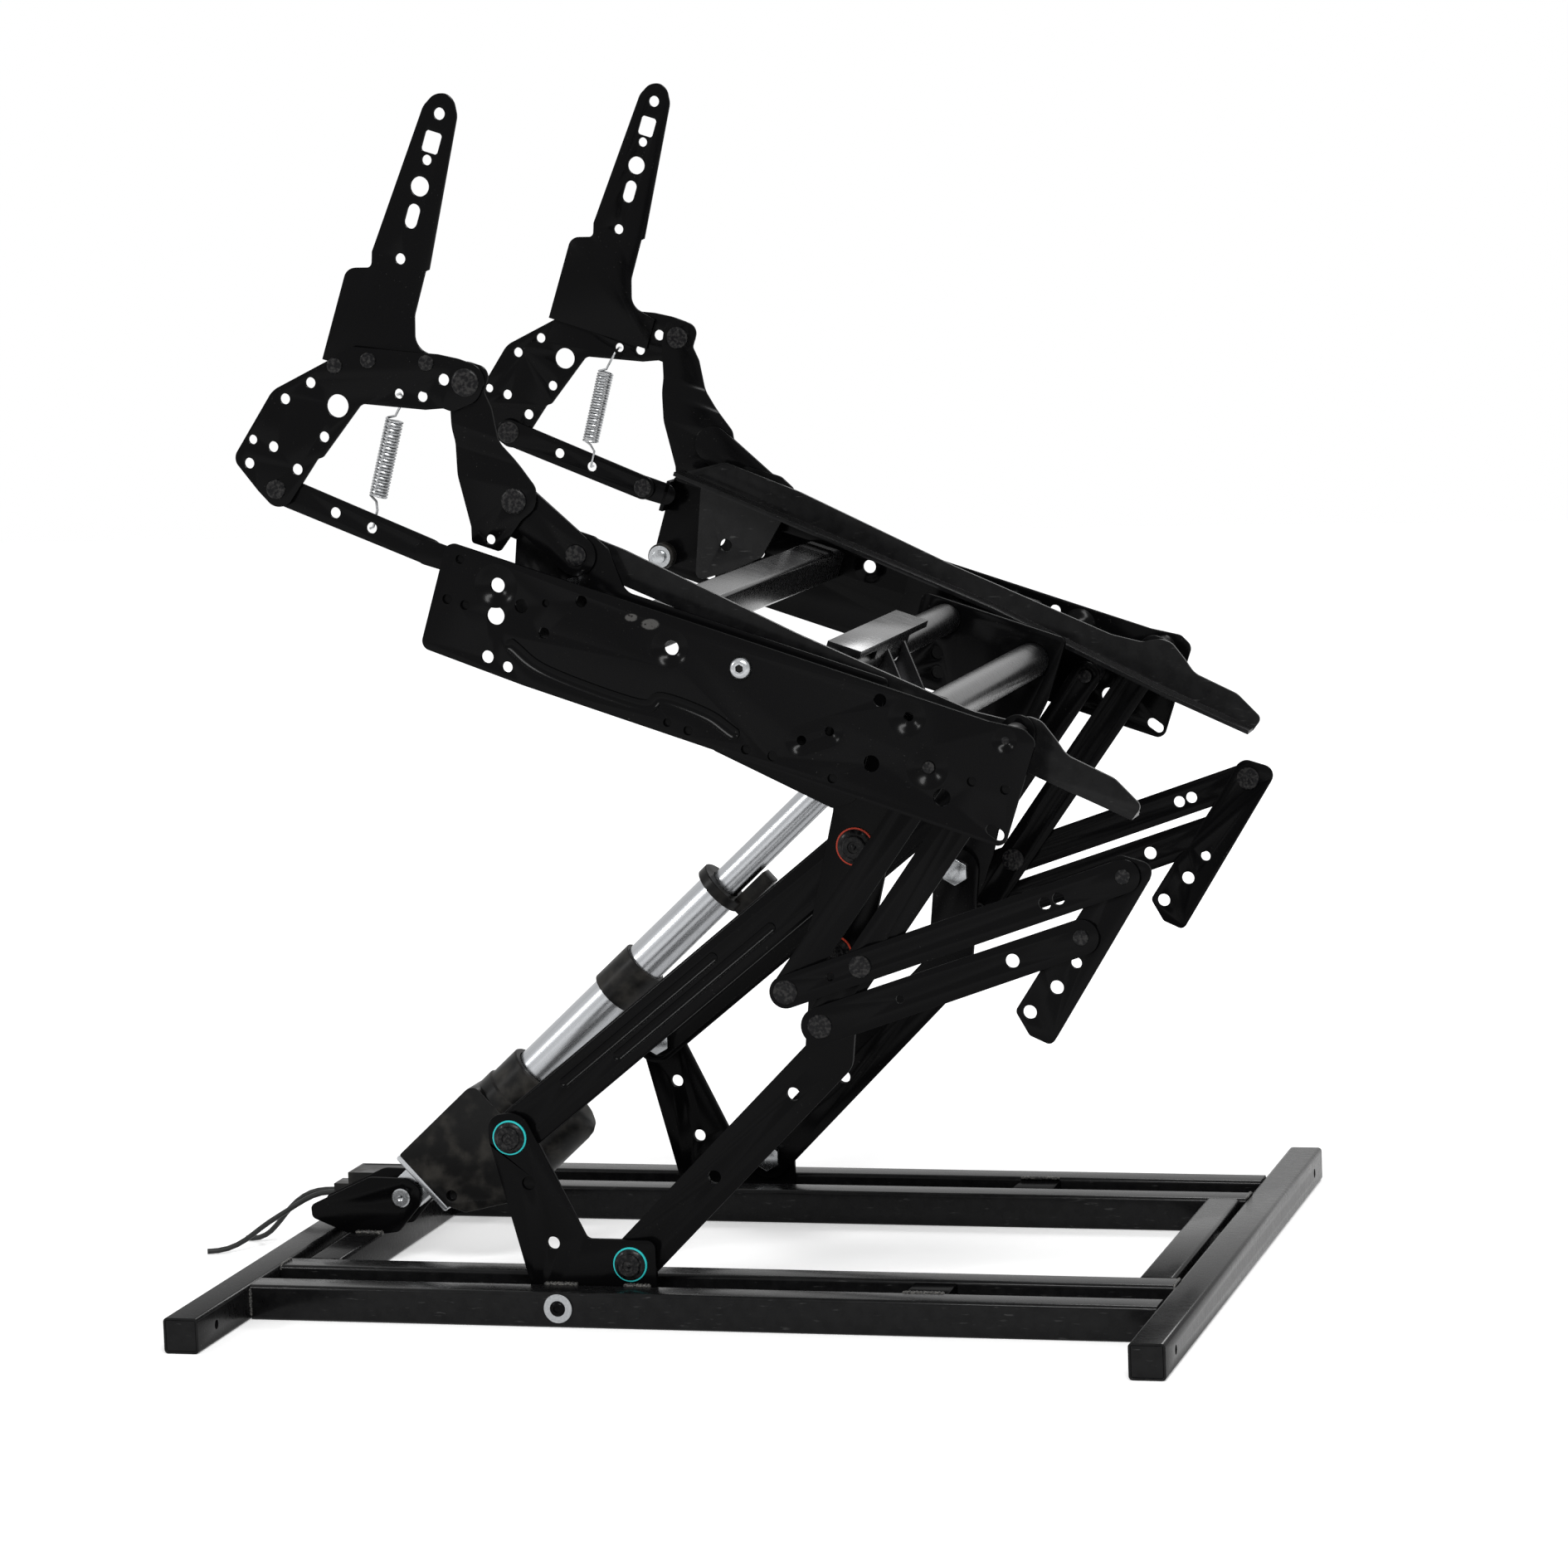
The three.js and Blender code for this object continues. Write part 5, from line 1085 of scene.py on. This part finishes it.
# Back linkage
# Flat links riveted from 3 mm sheet: a rear link on the inner plate, a stepped post, and the lower bar.
pivot_hole = 5.3 * mm
back_pivot = polar(link_rivet, 55.9 * mm, 156)
post_size = 86 * mm
back_top = polar(back_pivot, post_size, 127.2)
recline_size = 156 * mm
back_foot = back_top + recline_size * Vector((-0.702, -0.708))

rear_link = plate(
    "rear_link", link_line(seat(*back_pivot), seat(*link_rivet), 14 * mm), rear_link_layer, sheet,
    [(*seat(*link_rivet), pivot_hole)],
)
fit_both(rear_link, black_coat, "rear_links", "rear_link")
post_foot_layer = -251.8 * mm
post_face = post_foot_layer - half_link
pin("post_rivet", rivet_grey, "rear_links", seat(*back_pivot), rear_link_layer, post_face, shank_radius)
rivet_head("post_head", "rear_links", seat(*back_pivot), post_face, 8.8 * mm)

post_half = 13.5 * mm
post_corners = spread(back_pivot, post_size, [
    (-0.72, 0.68, 0.05), (-0.5, 0.06, 0.3), (-0.28, -0.3, 0.02), (-0.24, -0.42, 0.03), (0, -0.42, 0.03),
    (0.1, -0.13, 0.1), (0.2, 0.02, 0.14), (0.13, 0.16, 0.1), (-0.23, 0.42, 0.2), (-0.36, 0.66, 0.1),
]) + [
    (*seat(back_top.x + post_half, back_top.y - post_half / 4), post_half / 4),
    (*seat(back_top.x + post_half, back_top.y + post_half), post_half),
    (*seat(back_top.x - post_half, back_top.y + post_half), post_half),
]
post_near = back_layer - sheet / 2
post_far = post_foot_layer + sheet / 2
post = plate(
    "recline_post", post_corners, (post_near + post_far) / 2, post_far - post_near,
    [(*seat(*back_pivot), pivot_hole), (*seat(*back_top), pivot_hole),
     (*seat(*(back_pivot + Vector((-0.1, -0.35)) * post_size)), 3.4 * mm)],
    rounded=0,
)
bend_low = back_pivot.y + post_size * 0.3
bend_high = back_pivot.y + post_size * 0.42
deep = post_size * 0.8
profile = [
    (post_far, back_pivot.y - deep, 0), (post_far - sheet, back_pivot.y - deep, 0),
    (post_far - sheet, bend_low, 9 * mm),
    (post_near, bend_high, 12 * mm), (post_near, back_pivot.y + 2 * deep, 0),
    (post_near + sheet, back_pivot.y + 2 * deep, 0), (post_near + sheet, bend_high, 9 * mm),
    (post_far, bend_low, 12 * mm),
]
slab = plate("bent_sheet", profile, 0, 3 * post_size, rounded=0)
across = Matrix.Translation((back_pivot.x, 0, 0)) @ Matrix.Rotation(math.pi / 2, 4, "Z")
leaned(slab, seat_stand(seat_pivot) @ across)
cut(post, [slab], "INTERSECT")
soften(post, edge)
fit_both(post, black_coat, "recline_posts", "recline_post")

# The recline plate joins the post, the lower bar and the back arm. The arm is held by three rivets.
recline_corners = spread(back_top, recline_size, [
    (-0.537, -0.004, 0.02), (-0.155, 0.079, 0.1), (-0.06, 0.088, 0.1), (0.03, 0.085, 0.07),
    (0.085, 0.045, 0.07),
    (0.075, -0.06, 0.08), (-0.02, -0.14, 0.05), (-0.065, -0.138, 0.02), (-0.14, -0.168, 0.04),
    (-0.417, -0.228, 0.03), (-0.432, -0.242, 0.02), (-0.535, -0.51, 0.03), (-0.556, -0.523, 0.02),
    (-0.63, -0.76, 0.06), (-0.69, -0.79, 0.06), (-0.78, -0.74, 0.06), (-0.93, -0.64, 0.05),
    (-0.835, -0.296, 0.1), (-0.62, -0.09, 0.1),
])
recline_holes = [
    (-0.53, -0.272, 0.051), (-0.77, -0.315, 0.024), (-0.677, -0.212, 0.024), (-0.098, -0.018, 0.026),
    (-0.276, -0.137, 0.022), (-0.17, -0.117, 0.024), (-0.553, -0.421, 0.024), (-0.865, -0.531, 0.021),
    (-0.766, -0.533, 0.024), (-0.853, -0.636, 0.024), (-0.633, -0.595, 0.025),
]
recline = plate(
    "recline_plate", recline_corners, recline_layer, sheet, spread(back_top, recline_size, recline_holes)
)
fit_both(recline, black_coat, "recline_plates", "recline_plate")
recline_face = recline_layer - sheet / 2
tail_radius = 8.4 * mm
post_end = back_layer + half_link
for name, place, radius in (("top", back_top, 9.6 * mm), ("foot", back_foot, 6.9 * mm)):
    rivet_head(f"recline_{name}_head", "recline_plates", seat(*place), recline_face, radius)
pin(
    "recline_top_rivet", rivet_grey, "recline_plates", seat(*back_top), recline_face, post_end + 0.5 * mm,
    shank_radius
)
rivet_head("recline_top_tail", "recline_plates", seat(*back_top), post_end, tail_radius, outwards=False)
for i, place in enumerate([(-425, 216.3), (-403, 226.9), (-362.9, 237.5)]):
    centre = seat(*(Vector(place) * mm))
    rivet_head(f"arm_rivet_{i + 1}", "recline_plates", centre, recline_face, 5.5 * mm, height=1.4 * mm)

# Back arm: a long tapered plate whose slots and holes take the chair's back.
arm_size = 199 * mm
arm_foot = back_top + recline_size * Vector((-0.435, -0.1))
arm_corners = spread(arm_foot, arm_size, [
    (-0.175, 0), (-0.175, 0.325, 0.04), (-0.09, 0.352, 0.02), (-0.098, 0.385, 0.01), (-0.103, 0.404),
    (-0.061, 0.93, 0.06), (-0.03, 0.99, 0.06), (0.03, 0.99, 0.06), (0.062, 0.93, 0.06), (0.108, 0.404),
    (0.097, 0.395), (0.1, 0.24, 0.06), (0.13, 0.14, 0.06), (0.235, 0.12), (0.235, 0),
])
arm_holes = spread(arm_foot, arm_size, [
    (0, 0.92, 0.021), (0, 0.758, 0.018), (0, 0.665, 0.034), (0, 0.41, 0.019),
])
slot_ends = [seat(*(arm_foot + arm_size * Vector((0.002, 0.561 + s * 0.0195)))) for s in (-1, 1)]
arm_windows = [
    link_line(*slot_ends, arm_size * 0.0235),
    spread(arm_foot, arm_size, [
        (-0.031, 0.783, 0.012), (0.031, 0.783, 0.012), (0.031, 0.857, 0.012), (-0.031, 0.857, 0.012),
    ]),
]
back_arm = plate("back_arm", arm_corners, back_layer, sheet, arm_holes, windows=arm_windows)
fit_both(back_arm, black_coat, "recline_plates", "back_arm")

# Lower bar and its spring: close-wound bright wire with a hook at each end.
bar_run = [seat(*back_foot.lerp(hanger_pivot, share)) for share in (0.38, 0.62)]
lower_bar = plate(
    "recline_bar", link_line(seat(*back_foot), seat(*hanger_pivot), 10 * mm, 9 * mm), back_layer, sheet,
    [(*seat(*hanger_pivot), 4.3 * mm), (*bar_run[0], 3.8 * mm), (*bar_run[1], 3.8 * mm)],
)
fit_both(lower_bar, black_coat, "recline_bars", "recline_bar")
rivet_head(
    "lower_bar_tail", "recline_bars", seat(*back_foot), back_layer + sheet / 2, tail_radius, outwards=False
)

spring_steel = Finish("spring_steel", "zinc", Metallic=1.0)
tarnish = spring_steel.noise(2 * mm, 2)
spring_steel.paint(
    Base_Color=spring_steel.blend(tarnish, (0.15, 0.155, 0.16, 1), (0.55, 0.56, 0.57, 1)),
    Roughness=0.2 + 0.15 * tarnish,
)
spring_radius = 5.55 * mm
spring_wire = 1.8 * mm
curls = 26
pitch = 2.1 * mm
spring_start = back_top + recline_size * Vector((-0.276, -0.137))
spring_end = back_foot.lerp(hanger_pivot, 0.62)
spring_run = (spring_end - spring_start).normalized()
spring_side = Vector((spring_run.y, -spring_run.x))
span = (spring_end - spring_start).length
coil = pitch * curls
tail = (span - coil) / 2
spring_layer = back_layer + 9 * mm
coil_shift = 3.2 * mm
steps = 24
hook_in = back_layer + sheet / 2 + spring_wire - spring_layer
spring_line = [
    (spring_wire * 0.3, 0, recline_layer - spring_layer - sheet / 2 - spring_wire),
    (0, 0, recline_layer - spring_layer + sheet / 2), (spring_wire * 2, 0, -spring_wire),
    (tail * 0.45, coil_shift * 0.3, 0), (tail * 0.86, coil_shift, 0),
]
for i in range(curls * steps + 1):
    angle = 2 * math.pi * i / steps
    across = coil_shift + spring_radius * math.cos(angle)
    spring_line.append((tail + coil * i / (curls * steps), across, -spring_radius * math.sin(angle)))
spring_line += [
    (span - tail * 0.86, coil_shift, hook_in / 3), (span - tail * 0.62, 0, hook_in),
    (span - spring_wire * 1.5, 0, hook_in), (span, 0, hook_in - spring_wire / 2),
    (span, 0, back_layer - spring_layer - sheet / 2 - spring_wire),
]
route = []
for along, across, out in spring_line:
    x, z = seat(*(spring_start + spring_run * along + spring_side * across))
    route.append((Vector((x, spring_layer + out, z)), 1))
spring = drawn("recline_spring", route, spring_wire / 2, 2)
soften(spring, 0)
fit_both(spring, spring_steel, "recline_bars", "recline_spring")


# Footrest linkage
# Front and rear links hang from the side plate's studs and push two long links and the footboard bracket.
footrest_layer = -238.5 * mm
outer_layer = -241.8 * mm
link_lean = -107.1
link_drop = 194.6 * mm
link_reach = 192.9 * mm
footrest_elbow = polar(footrest_top, link_drop, link_lean)
footrest_tip = polar(footrest_elbow, 50.8 * mm, link_lean)
footrest_heel = polar(footrest_rear, link_drop, link_lean)
upper_end = polar(footrest_elbow, link_reach, footrest_lean)
lower_end = polar(footrest_tip, link_reach, footrest_lean)
outer_face = outer_layer - sheet / 2
tail_face = footrest_layer + half_link

for place in (footrest_top, footrest_rear):
    number = 1 if place == footrest_top else 2
    pin(
        f"footrest_boss_{number}", rivet_grey, "seat_frame", seat(*place), side_inner + 4 * mm,
        outer_face - slack, 8 * mm
    )
    pin(
        f"footrest_stud_{number}", rivet_grey, "seat_frame", seat(*place), outer_face - mm,
        rail_layer - half_link, shank_radius
    )
    rivet_head(
        f"stud_head_{number}", "seat_frame", seat(*place), side_face + 3.9 * mm, 4.2 * mm, height=1.1 * mm
    )

front_link = plate(
    "footrest_front_link", link_line(seat(*footrest_top), seat(*footrest_tip), 12.35 * mm), footrest_layer,
    sheet, [(*seat(*place), pivot_hole) for place in (footrest_top, footrest_elbow, footrest_tip)],
)
fit_both(front_link, black_coat, "footrest_front_links", "footrest_front_link")
back_link = plate(
    "footrest_rear_link", link_line(seat(*footrest_rear), seat(*footrest_heel), 10.9 * mm), footrest_layer,
    sheet, [(*seat(*footrest_rear), pivot_hole)],
)
fit_both(back_link, black_coat, "footrest_rear_links", "footrest_rear_link")
rivet_head(
    "rear_link_tail", "footrest_rear_links", seat(*footrest_heel), tail_face - slack, tail_radius, False
)

along_upper = [(0.772, 4.3), (0.812, 4.3), (0.135, 2.9)]
upper = plate(
    "footrest_upper_link", link_line(seat(*footrest_heel), seat(*upper_end), 11.3 * mm, 11.6 * mm),
    outer_layer, sheet,
    [(*seat(*footrest_heel.lerp(upper_end, share)), radius * mm) for share, radius in along_upper],
)
fit_both(upper, black_coat, "footrest_upper_links", "footrest_upper_link")
rivet_head("upper_heel_head", "footrest_upper_links", seat(*footrest_heel), outer_face, tail_radius)
along_lower = [(0.31, 2.9), (0.74, 4.8)]
lower = plate(
    "footrest_lower_link", link_line(seat(*footrest_tip), seat(*lower_end), 13.25 * mm, 12.2 * mm),
    outer_layer, sheet,
    [(*seat(*footrest_tip.lerp(lower_end, share)), radius * mm) for share, radius in along_lower],
)
fit_both(lower, black_coat, "footrest_lower_links", "footrest_lower_link")
rivet_head("lower_end_head", "footrest_lower_links", seat(*lower_end), outer_face, 5.4 * mm)
for name, body, place, radius in (
    ("elbow", "footrest_upper_links", footrest_elbow, 7.8 * mm),
    ("upper_end", "footrest_upper_links", upper_end, 5.2 * mm),
    ("tip", "footrest_lower_links", footrest_tip, tail_radius),
):
    rivet_head(f"{name}_head", body, seat(*place), outer_face, radius)
    pin(f"{name}_rivet", rivet_grey, body, seat(*place), outer_face, tail_face + 0.5 * mm, shank_radius)
    rivet_head(f"{name}_tail", body, seat(*place), tail_face, tail_radius, outwards=False)

# The bracket takes the footboard. Its front edge is turned inwards into a thin lip.
bracket_size = 142 * mm
bracket_corners = spread(upper_end, bracket_size, [
    (0.138, 0.096, 0.06), (-0.093, -0.888, 0.03), (-0.208, -0.876, 0.03), (-0.307, -0.786, 0.03),
    (-0.245, -0.55, 0.1), (-0.19, -0.44, 0.05), (-0.175, -0.34, 0.1), (-0.11, -0.1, 0.1), (-0.07, 0.09, 0.06),
])
foot_bracket = plate("footrest_bracket", bracket_corners, footrest_layer, sheet, rounded=0)
lip_ends = [
    seat(*(upper_end + bracket_size * Vector(s) + Vector((-mm, 0)))) for s in ((0.12, 0.02), (-0.085, -0.85))
]
lip_depth = 5.5 * mm
lip = plate("lip", link_line(*lip_ends, mm), footrest_layer - sheet / 2 + lip_depth / 2, lip_depth, rounded=0)
cut(foot_bracket, [lip], "UNION")
for share, radius in (
    ((0, 0), pivot_hole), ((-0.15, -0.613), tooling_hole), ((-0.239, -0.769), tooling_hole),
    ((-0.095, -0.47), 3.8 * mm),
):
    place = seat(*(upper_end + bracket_size * Vector(share)))
    drilled(foot_bracket, footrest_layer, [place], radius, 4 * sheet)
soften(foot_bracket, edge)
fit_both(foot_bracket, black_coat, "footrest_brackets", "footrest_bracket")


# Linear actuator
# Gear housing and motor in black plastic, an aluminium tube with a clamp band, and the sliding rod. All are
# drawn along their own axis and leaned into place.

# Bare aluminium, drawn lengthwise along the drive's axis, whose lean is given to the streaks.
aluminium = Finish("drawn_aluminium", "aluminium", Metallic=1.0)
streak = aluminium.noise(2 * mm, 2, (60, 1, 1), (0, -drive_lean, 0))
smear = aluminium.noise(24 * mm, 3, (4, 1, 1), (0, -drive_lean, 0))
aluminium.paint(
    Base_Color=aluminium.blend(0.5 * smear + 0.5 * streak, (0.31, 0.32, 0.335, 1), (0.48, 0.49, 0.505, 1)),
    Roughness=0.2 + 0.08 * streak + 0.06 * smear,
)
aluminium.bump(streak, 0.004 * mm)

drive_foot = Matrix.Translation((clevis_place.x, drive_side, clevis_place.y))
drive_frame = drive_foot @ Matrix.Rotation(-drive_lean, 4, "Y")
along_drive = drive_frame @ Matrix.Rotation(-math.pi / 2, 4, "Z")


def barrel(name, profile, across=0):
    """A round piece along the drive, turned from a profile of (distance, radius)."""
    profile = [(radius * mm, along * mm) for along, radius in profile]
    return leaned(turned(name, (0, across), profile, 56), along_drive)


housing_start = 22.2
housing_end = 102.5
housing_width = 44 * mm
shell_corners = [
    (housing_start, 23.4, 2), (housing_start, -26.65, 2), (30.2, -41, 4), (62, -58.8, 6),
    (housing_end, -50.4, 6), (housing_end, 23.4, 8),
]
shell_line = [(x * mm, z * mm, radius * mm) for x, z, radius in shell_corners]
shell = plate("housing_shell", shell_line, 0, housing_width, rounded=0)
drilled(shell, -22 * mm, [(31 * mm, -25 * mm)], 4.1 * mm, 14 * mm)
soften(shell, 2.2 * mm, 4)
leaned(shell, drive_frame)
fit(shell, plastic, "actuator", "gear_housing")
collar = barrel("housing_collar", [
    (95, 0), (95, 22), (112, 22), (113.4, 20.5), (137.4, 20.5), (138.5, 19.6), (138.5, 16.2), (128, 16.2),
    (128, 0),
])
fit(collar, plastic, "actuator")
lug = plate(
    "housing_lug", link_line((0, 0), (19 * mm, 0), 13 * mm), 0, 27 * mm, [(0, 0, pivot_hole)], 0.8 * mm
)
fit(leaned(lug, drive_frame), aluminium, "actuator")
end_plate = plate("housing_end_plate", [(x * mm, z * mm, 2 * mm) for x, z in (
    (18.5, 23.4), (18.5, -30), (22.5, -30), (22.5, 23.4))], 0, housing_width, rounded=0.5 * mm)
fit(leaned(end_plate, drive_frame), aluminium, "actuator")
can = barrel("drive_motor_can", [
    (62, 0), (62, 20.4), (62.6, 21), (131, 21), (137, 20.2), (141.5, 17.6), (144.2, 13), (145, 7), (145, 0),
], -42 * mm)
fit(can, plastic, "actuator", "drive_motor")
outer_tube = barrel("outer_tube_skin", [
    (118, 11.5), (118, 15.4), (332.6, 15.4), (333, 15), (333, 11.9), (332.6, 11.5), (118, 11.5),
])
fit(outer_tube, aluminium, "actuator", "outer_tube")
clamp = barrel("tube_clamp_band", [
    (222, 15.5), (222, 17.5), (222.5, 18), (255.5, 18), (256, 17.5), (256, 15.5), (222, 15.5),
])
fit(clamp, plastic, "actuator", "tube_clamp")
end_cap = barrel("end_ring_cap", [
    (333.3, 11.8), (333.3, 19.4), (333.9, 20), (340.7, 20), (341.3, 19.4), (341.3, 11.8), (333.3, 11.8),
])
fit(end_cap, plastic, "actuator", "end_ring")
switch_ends = [(334.3, -23.8), (370.3, -23.8), (370.3, -12.8), (334.3, -12.8)]
switch = plate(
    "limit_switch", [(x * mm, z * mm, 1.2 * mm) for x, z in switch_ends], 0, 14 * mm, rounded=0.6 * mm
)
fit(leaned(switch, drive_frame), plastic, "actuator")
rod = barrel("drive_rod_shaft", [
    (262, 0), (262, 11.2), (514, 11.2), (518, 11.2), (518, 0),
])
fit(rod, aluminium, "drive_rod", "drive_rod")
sleeve_radius = 13 * mm
sleeve_near = drive_side - yoke_gap / 2 + slack
sleeve_far = drive_side + yoke_gap / 2 - slack
sleeve = turned("rod_sleeve", rod_end, [
    (0, sleeve_near), (sleeve_radius - bevel, sleeve_near), (sleeve_radius, sleeve_near + bevel),
    (sleeve_radius, sleeve_far - bevel), (sleeve_radius - bevel, sleeve_far), (0, sleeve_far),
])
fit(sleeve, aluminium, "drive_rod")


# Clevis
# Two ears folded from 4 mm sheet on a base plate, welded on the rear bar, with a zinc clevis pin.
base_top = tube_side + slack
rise = clevis_place.y - base_top
ear_shares = [
    (-2.6, -0.26, 0.15), (-2.58, -0.6, 0.15), (-1.6, -1, 0), (-0.5, -1, 0.1), (-0.13, -0.95, 0.2),
    (0.51, -0.2, 0.3), (0.53, 0.26, 0.3), (0.17, 0.51, 0.3), (-0.91, 0.53, 0.4),
]
clevis_sheet = 4 * mm
clevis_ears = []
for sign in (-1, 1):
    layer = drive_side + sign * 17 * mm
    corners = [(clevis_place.x + x * rise, clevis_place.y + z * rise, r * rise) for x, z, r in ear_shares]
    clevis_ears.append(
        plate("clevis_ear", corners, layer, clevis_sheet, [(*clevis_place, pivot_hole)], 0.6 * mm)
    )
base_centre = (clevis_place.x - rise * 1.1, drive_side, base_top + clevis_sheet / 2)
clevis_base = block("clevis_base", base_centre, (rise * 0.9, 31 * mm, clevis_sheet))
clevis = joined("clevis", clevis_ears + [clevis_base])
soften(clevis, 0)
fit(clevis, black_coat, "base", "actuator_clevis")
clevis_front = clevis_place.x - rise * 0.55
clevis_side = drive_side - 19 * mm
bead("clevis_weld", "base", [
    (clevis_front - 22 * mm, clevis_side, base_top + 0.6 * mm),
    (clevis_front, clevis_side, base_top + 0.6 * mm),
], 1.9 * mm)
pin_near = drive_side - 19.3 * mm
pin_far = drive_side + 19.3 * mm
pin_profile = [
    (0, pin_near - 2.2 * mm), (1.4 * mm, pin_near - 2.4 * mm), (2.2 * mm, pin_near - 3 * mm),
    (6 * mm, pin_near - 3 * mm), (7 * mm, pin_near - 2 * mm), (7 * mm, pin_near), (5 * mm, pin_near),
    (5 * mm, pin_far), (7 * mm, pin_far), (7 * mm, pin_far + 2 * mm), (6 * mm, pin_far + 3 * mm),
    (0, pin_far + 3 * mm),
]
clevis_pin = turned("clevis_pin_steel", clevis_place, pin_profile)
fit(clevis_pin, zinc, "base", "clevis_pin")


# Junction box
# A small moulded box stands on the rear bar beside the clevis. The two leads leave its plug block.
box_place = Vector((-307.6, 14, 43.7)) * mm
box = block("junction_box_shell", box_place, Vector((38, 34, 36)) * mm)
activate(box, edit=True)
choose(lambda place, normal: normal.x < -0.9, "faces")
bpy.ops.mesh.inset(thickness=7 * mm)
bpy.ops.transform.resize(value=(1, 1, 0.72), center_override=box_place)
bpy.ops.mesh.extrude_region_move(TRANSFORM_OT_translate={"value": (-14 * mm, 0, 0)})
choose(lambda place, normal: normal.z > 0.9 and place.x > -0.33, "faces")
bpy.ops.mesh.inset(thickness=2.2 * mm)
bpy.ops.mesh.inset(thickness=0.4 * mm, depth=-0.5 * mm)
bpy.ops.object.mode_set(mode="OBJECT")
soften(box, 0.8 * mm, 3)
fit(box, plastic, "base", "junction_box")


# Leads
# Two 4 mm leads in black PVC leave the plug block on the junction box and droop to the floor, ends bare.
lead_diameter = 4 * mm
plug_face = -340.9 * mm
lead_lines = {
    "motor_lead": (18.5, [
        (0, 0, 0), (-6, 0, 0.2), (-12, 0.2, -0.1), (-18, 0.5, -1), (-24, 1, -2.8), (-30, 1.8, -5.8),
        (-36, 2.8, -10), (-41.5, 3.9, -15), (-46.5, 5, -20.3), (-51, 6, -25.5), (-55.5, 7, -30.3),
        (-60, 8, -34.6), (-65, 9.1, -38), (-70.5, 10.2, -40.3), (-76, 11.2, -41.2), (-81.5, 12.2, -41.4),
    ]),
    "hand_control_lead": (9.5, [
        (0, 0, 0), (-6, 0, -0.1), (-12, -0.3, -0.9), (-18.5, -1, -2.9), (-25, -2.2, -6), (-31.5, -3.8, -9.8),
        (-38, -5.7, -13.8), (-44.5, -7.8, -17.7), (-51, -10.1, -21.8), (-57, -12.3, -26),
        (-62.5, -14.4, -30.2), (-68, -16.5, -34.2), (-74, -18.8, -37.6), (-80.5, -21.2, -40),
        (-87.5, -23.8, -41.2), (-95, -26.5, -41.4),
    ]),
}
pvc = Finish("black_pvc", "black_plastic", Specular_IOR_Level=0.2)
pull = pvc.noise(3 * mm, 2)
pvc.paint(
    Base_Color=pvc.blend(pull, (0.008, 0.009, 0.009, 1), (0.02, 0.021, 0.02, 1)),
    Roughness=0.3 + 0.2 * pull,
)
pvc.bump(pull, 0.05 * mm)
for name, (y, offsets) in lead_lines.items():
    exit_point = Vector((plug_face, y * mm, box_place.z))
    route = [exit_point + Vector(offset) * mm for offset in offsets]
    lead = wire(f"{name}_pvc", [(place, 1) for place in route], lead_diameter / 2, 5)
    lead.data.materials.append(pvc.material)
    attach(lead, "base")
    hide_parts(name)


# Floor, backdrop and light
# A plain white floor that shows its soft shadow, a white surround, and wide soft lamps above.


class Surround(Finish):
    """The world, whose strength comes from expressions on Shade."""

    def __init__(self, world):
        world.use_nodes = True
        self.tree = world.node_tree
        self.shader = self.tree.nodes["Background"]


def seen(finish):
    """1 where the camera looks, also by a mirror or through glass, and 0 where light only bounces."""
    path = "ShaderNodeLightPath"
    mirrored = finish.node(path, output="Is Glossy Ray")
    through = finish.node(path, output="Is Transmission Ray")
    return finish.node(path, output="Is Camera Ray") | mirrored | through


bpy.ops.mesh.primitive_plane_add(size=12)
floor = bpy.context.object
floor.name = "floor"
ground = Finish("white_floor", Base_Color=(0.78, 0.78, 0.78, 1), Roughness=0.9, Specular_IOR_Level=0.1)
ground.shader.inputs["Emission Strength"].default_value = 1
away = ground.node("ShaderNodeVectorMath", {"operation": "LENGTH"}, {0: ground.place}, "Value").ramp(0.5, 1.9)
glow = seen(ground) * (0.3 + 0.3 * away)
ground.paint(Emission_Color=ground.blend(glow, (0, 0, 0, 1), (1, 1, 1, 1)))
floor.data.materials.append(ground.material)

world = bpy.data.worlds.new("studio")
bpy.context.scene.world = world
sky = Surround(world)
sky.shader.inputs["Color"].default_value = (1, 1, 1, 1)
sky.paint(Strength=0.58 + 0.42 * seen(sky))

aim = Vector((0, 0, 350)) * mm
for name, place, width, height, power in (
    ("key", (1.0, -2.9, 2.6), 1.8, 0.6, 105), ("fill", (-2.3, -1.9, 1.5), 0.4, 0.4, 18),
    ("back", (0.5, 2.3, 2.4), 0.9, 0.9, 34),
):
    bpy.ops.object.light_add(type="AREA", location=place)
    lamp = bpy.context.object
    lamp.name = name
    lamp.data.shape = "RECTANGLE"
    lamp.data.size = width
    lamp.data.size_y = height
    lamp.data.energy = power
    facing = (Vector(place) - aim).to_track_quat("Z", "Y").to_matrix().to_4x4()
    lamp.matrix_world = Matrix.Translation(place) @ facing

bpy.context.scene.view_settings.view_transform = "Standard"
bpy.context.view_layer.update()
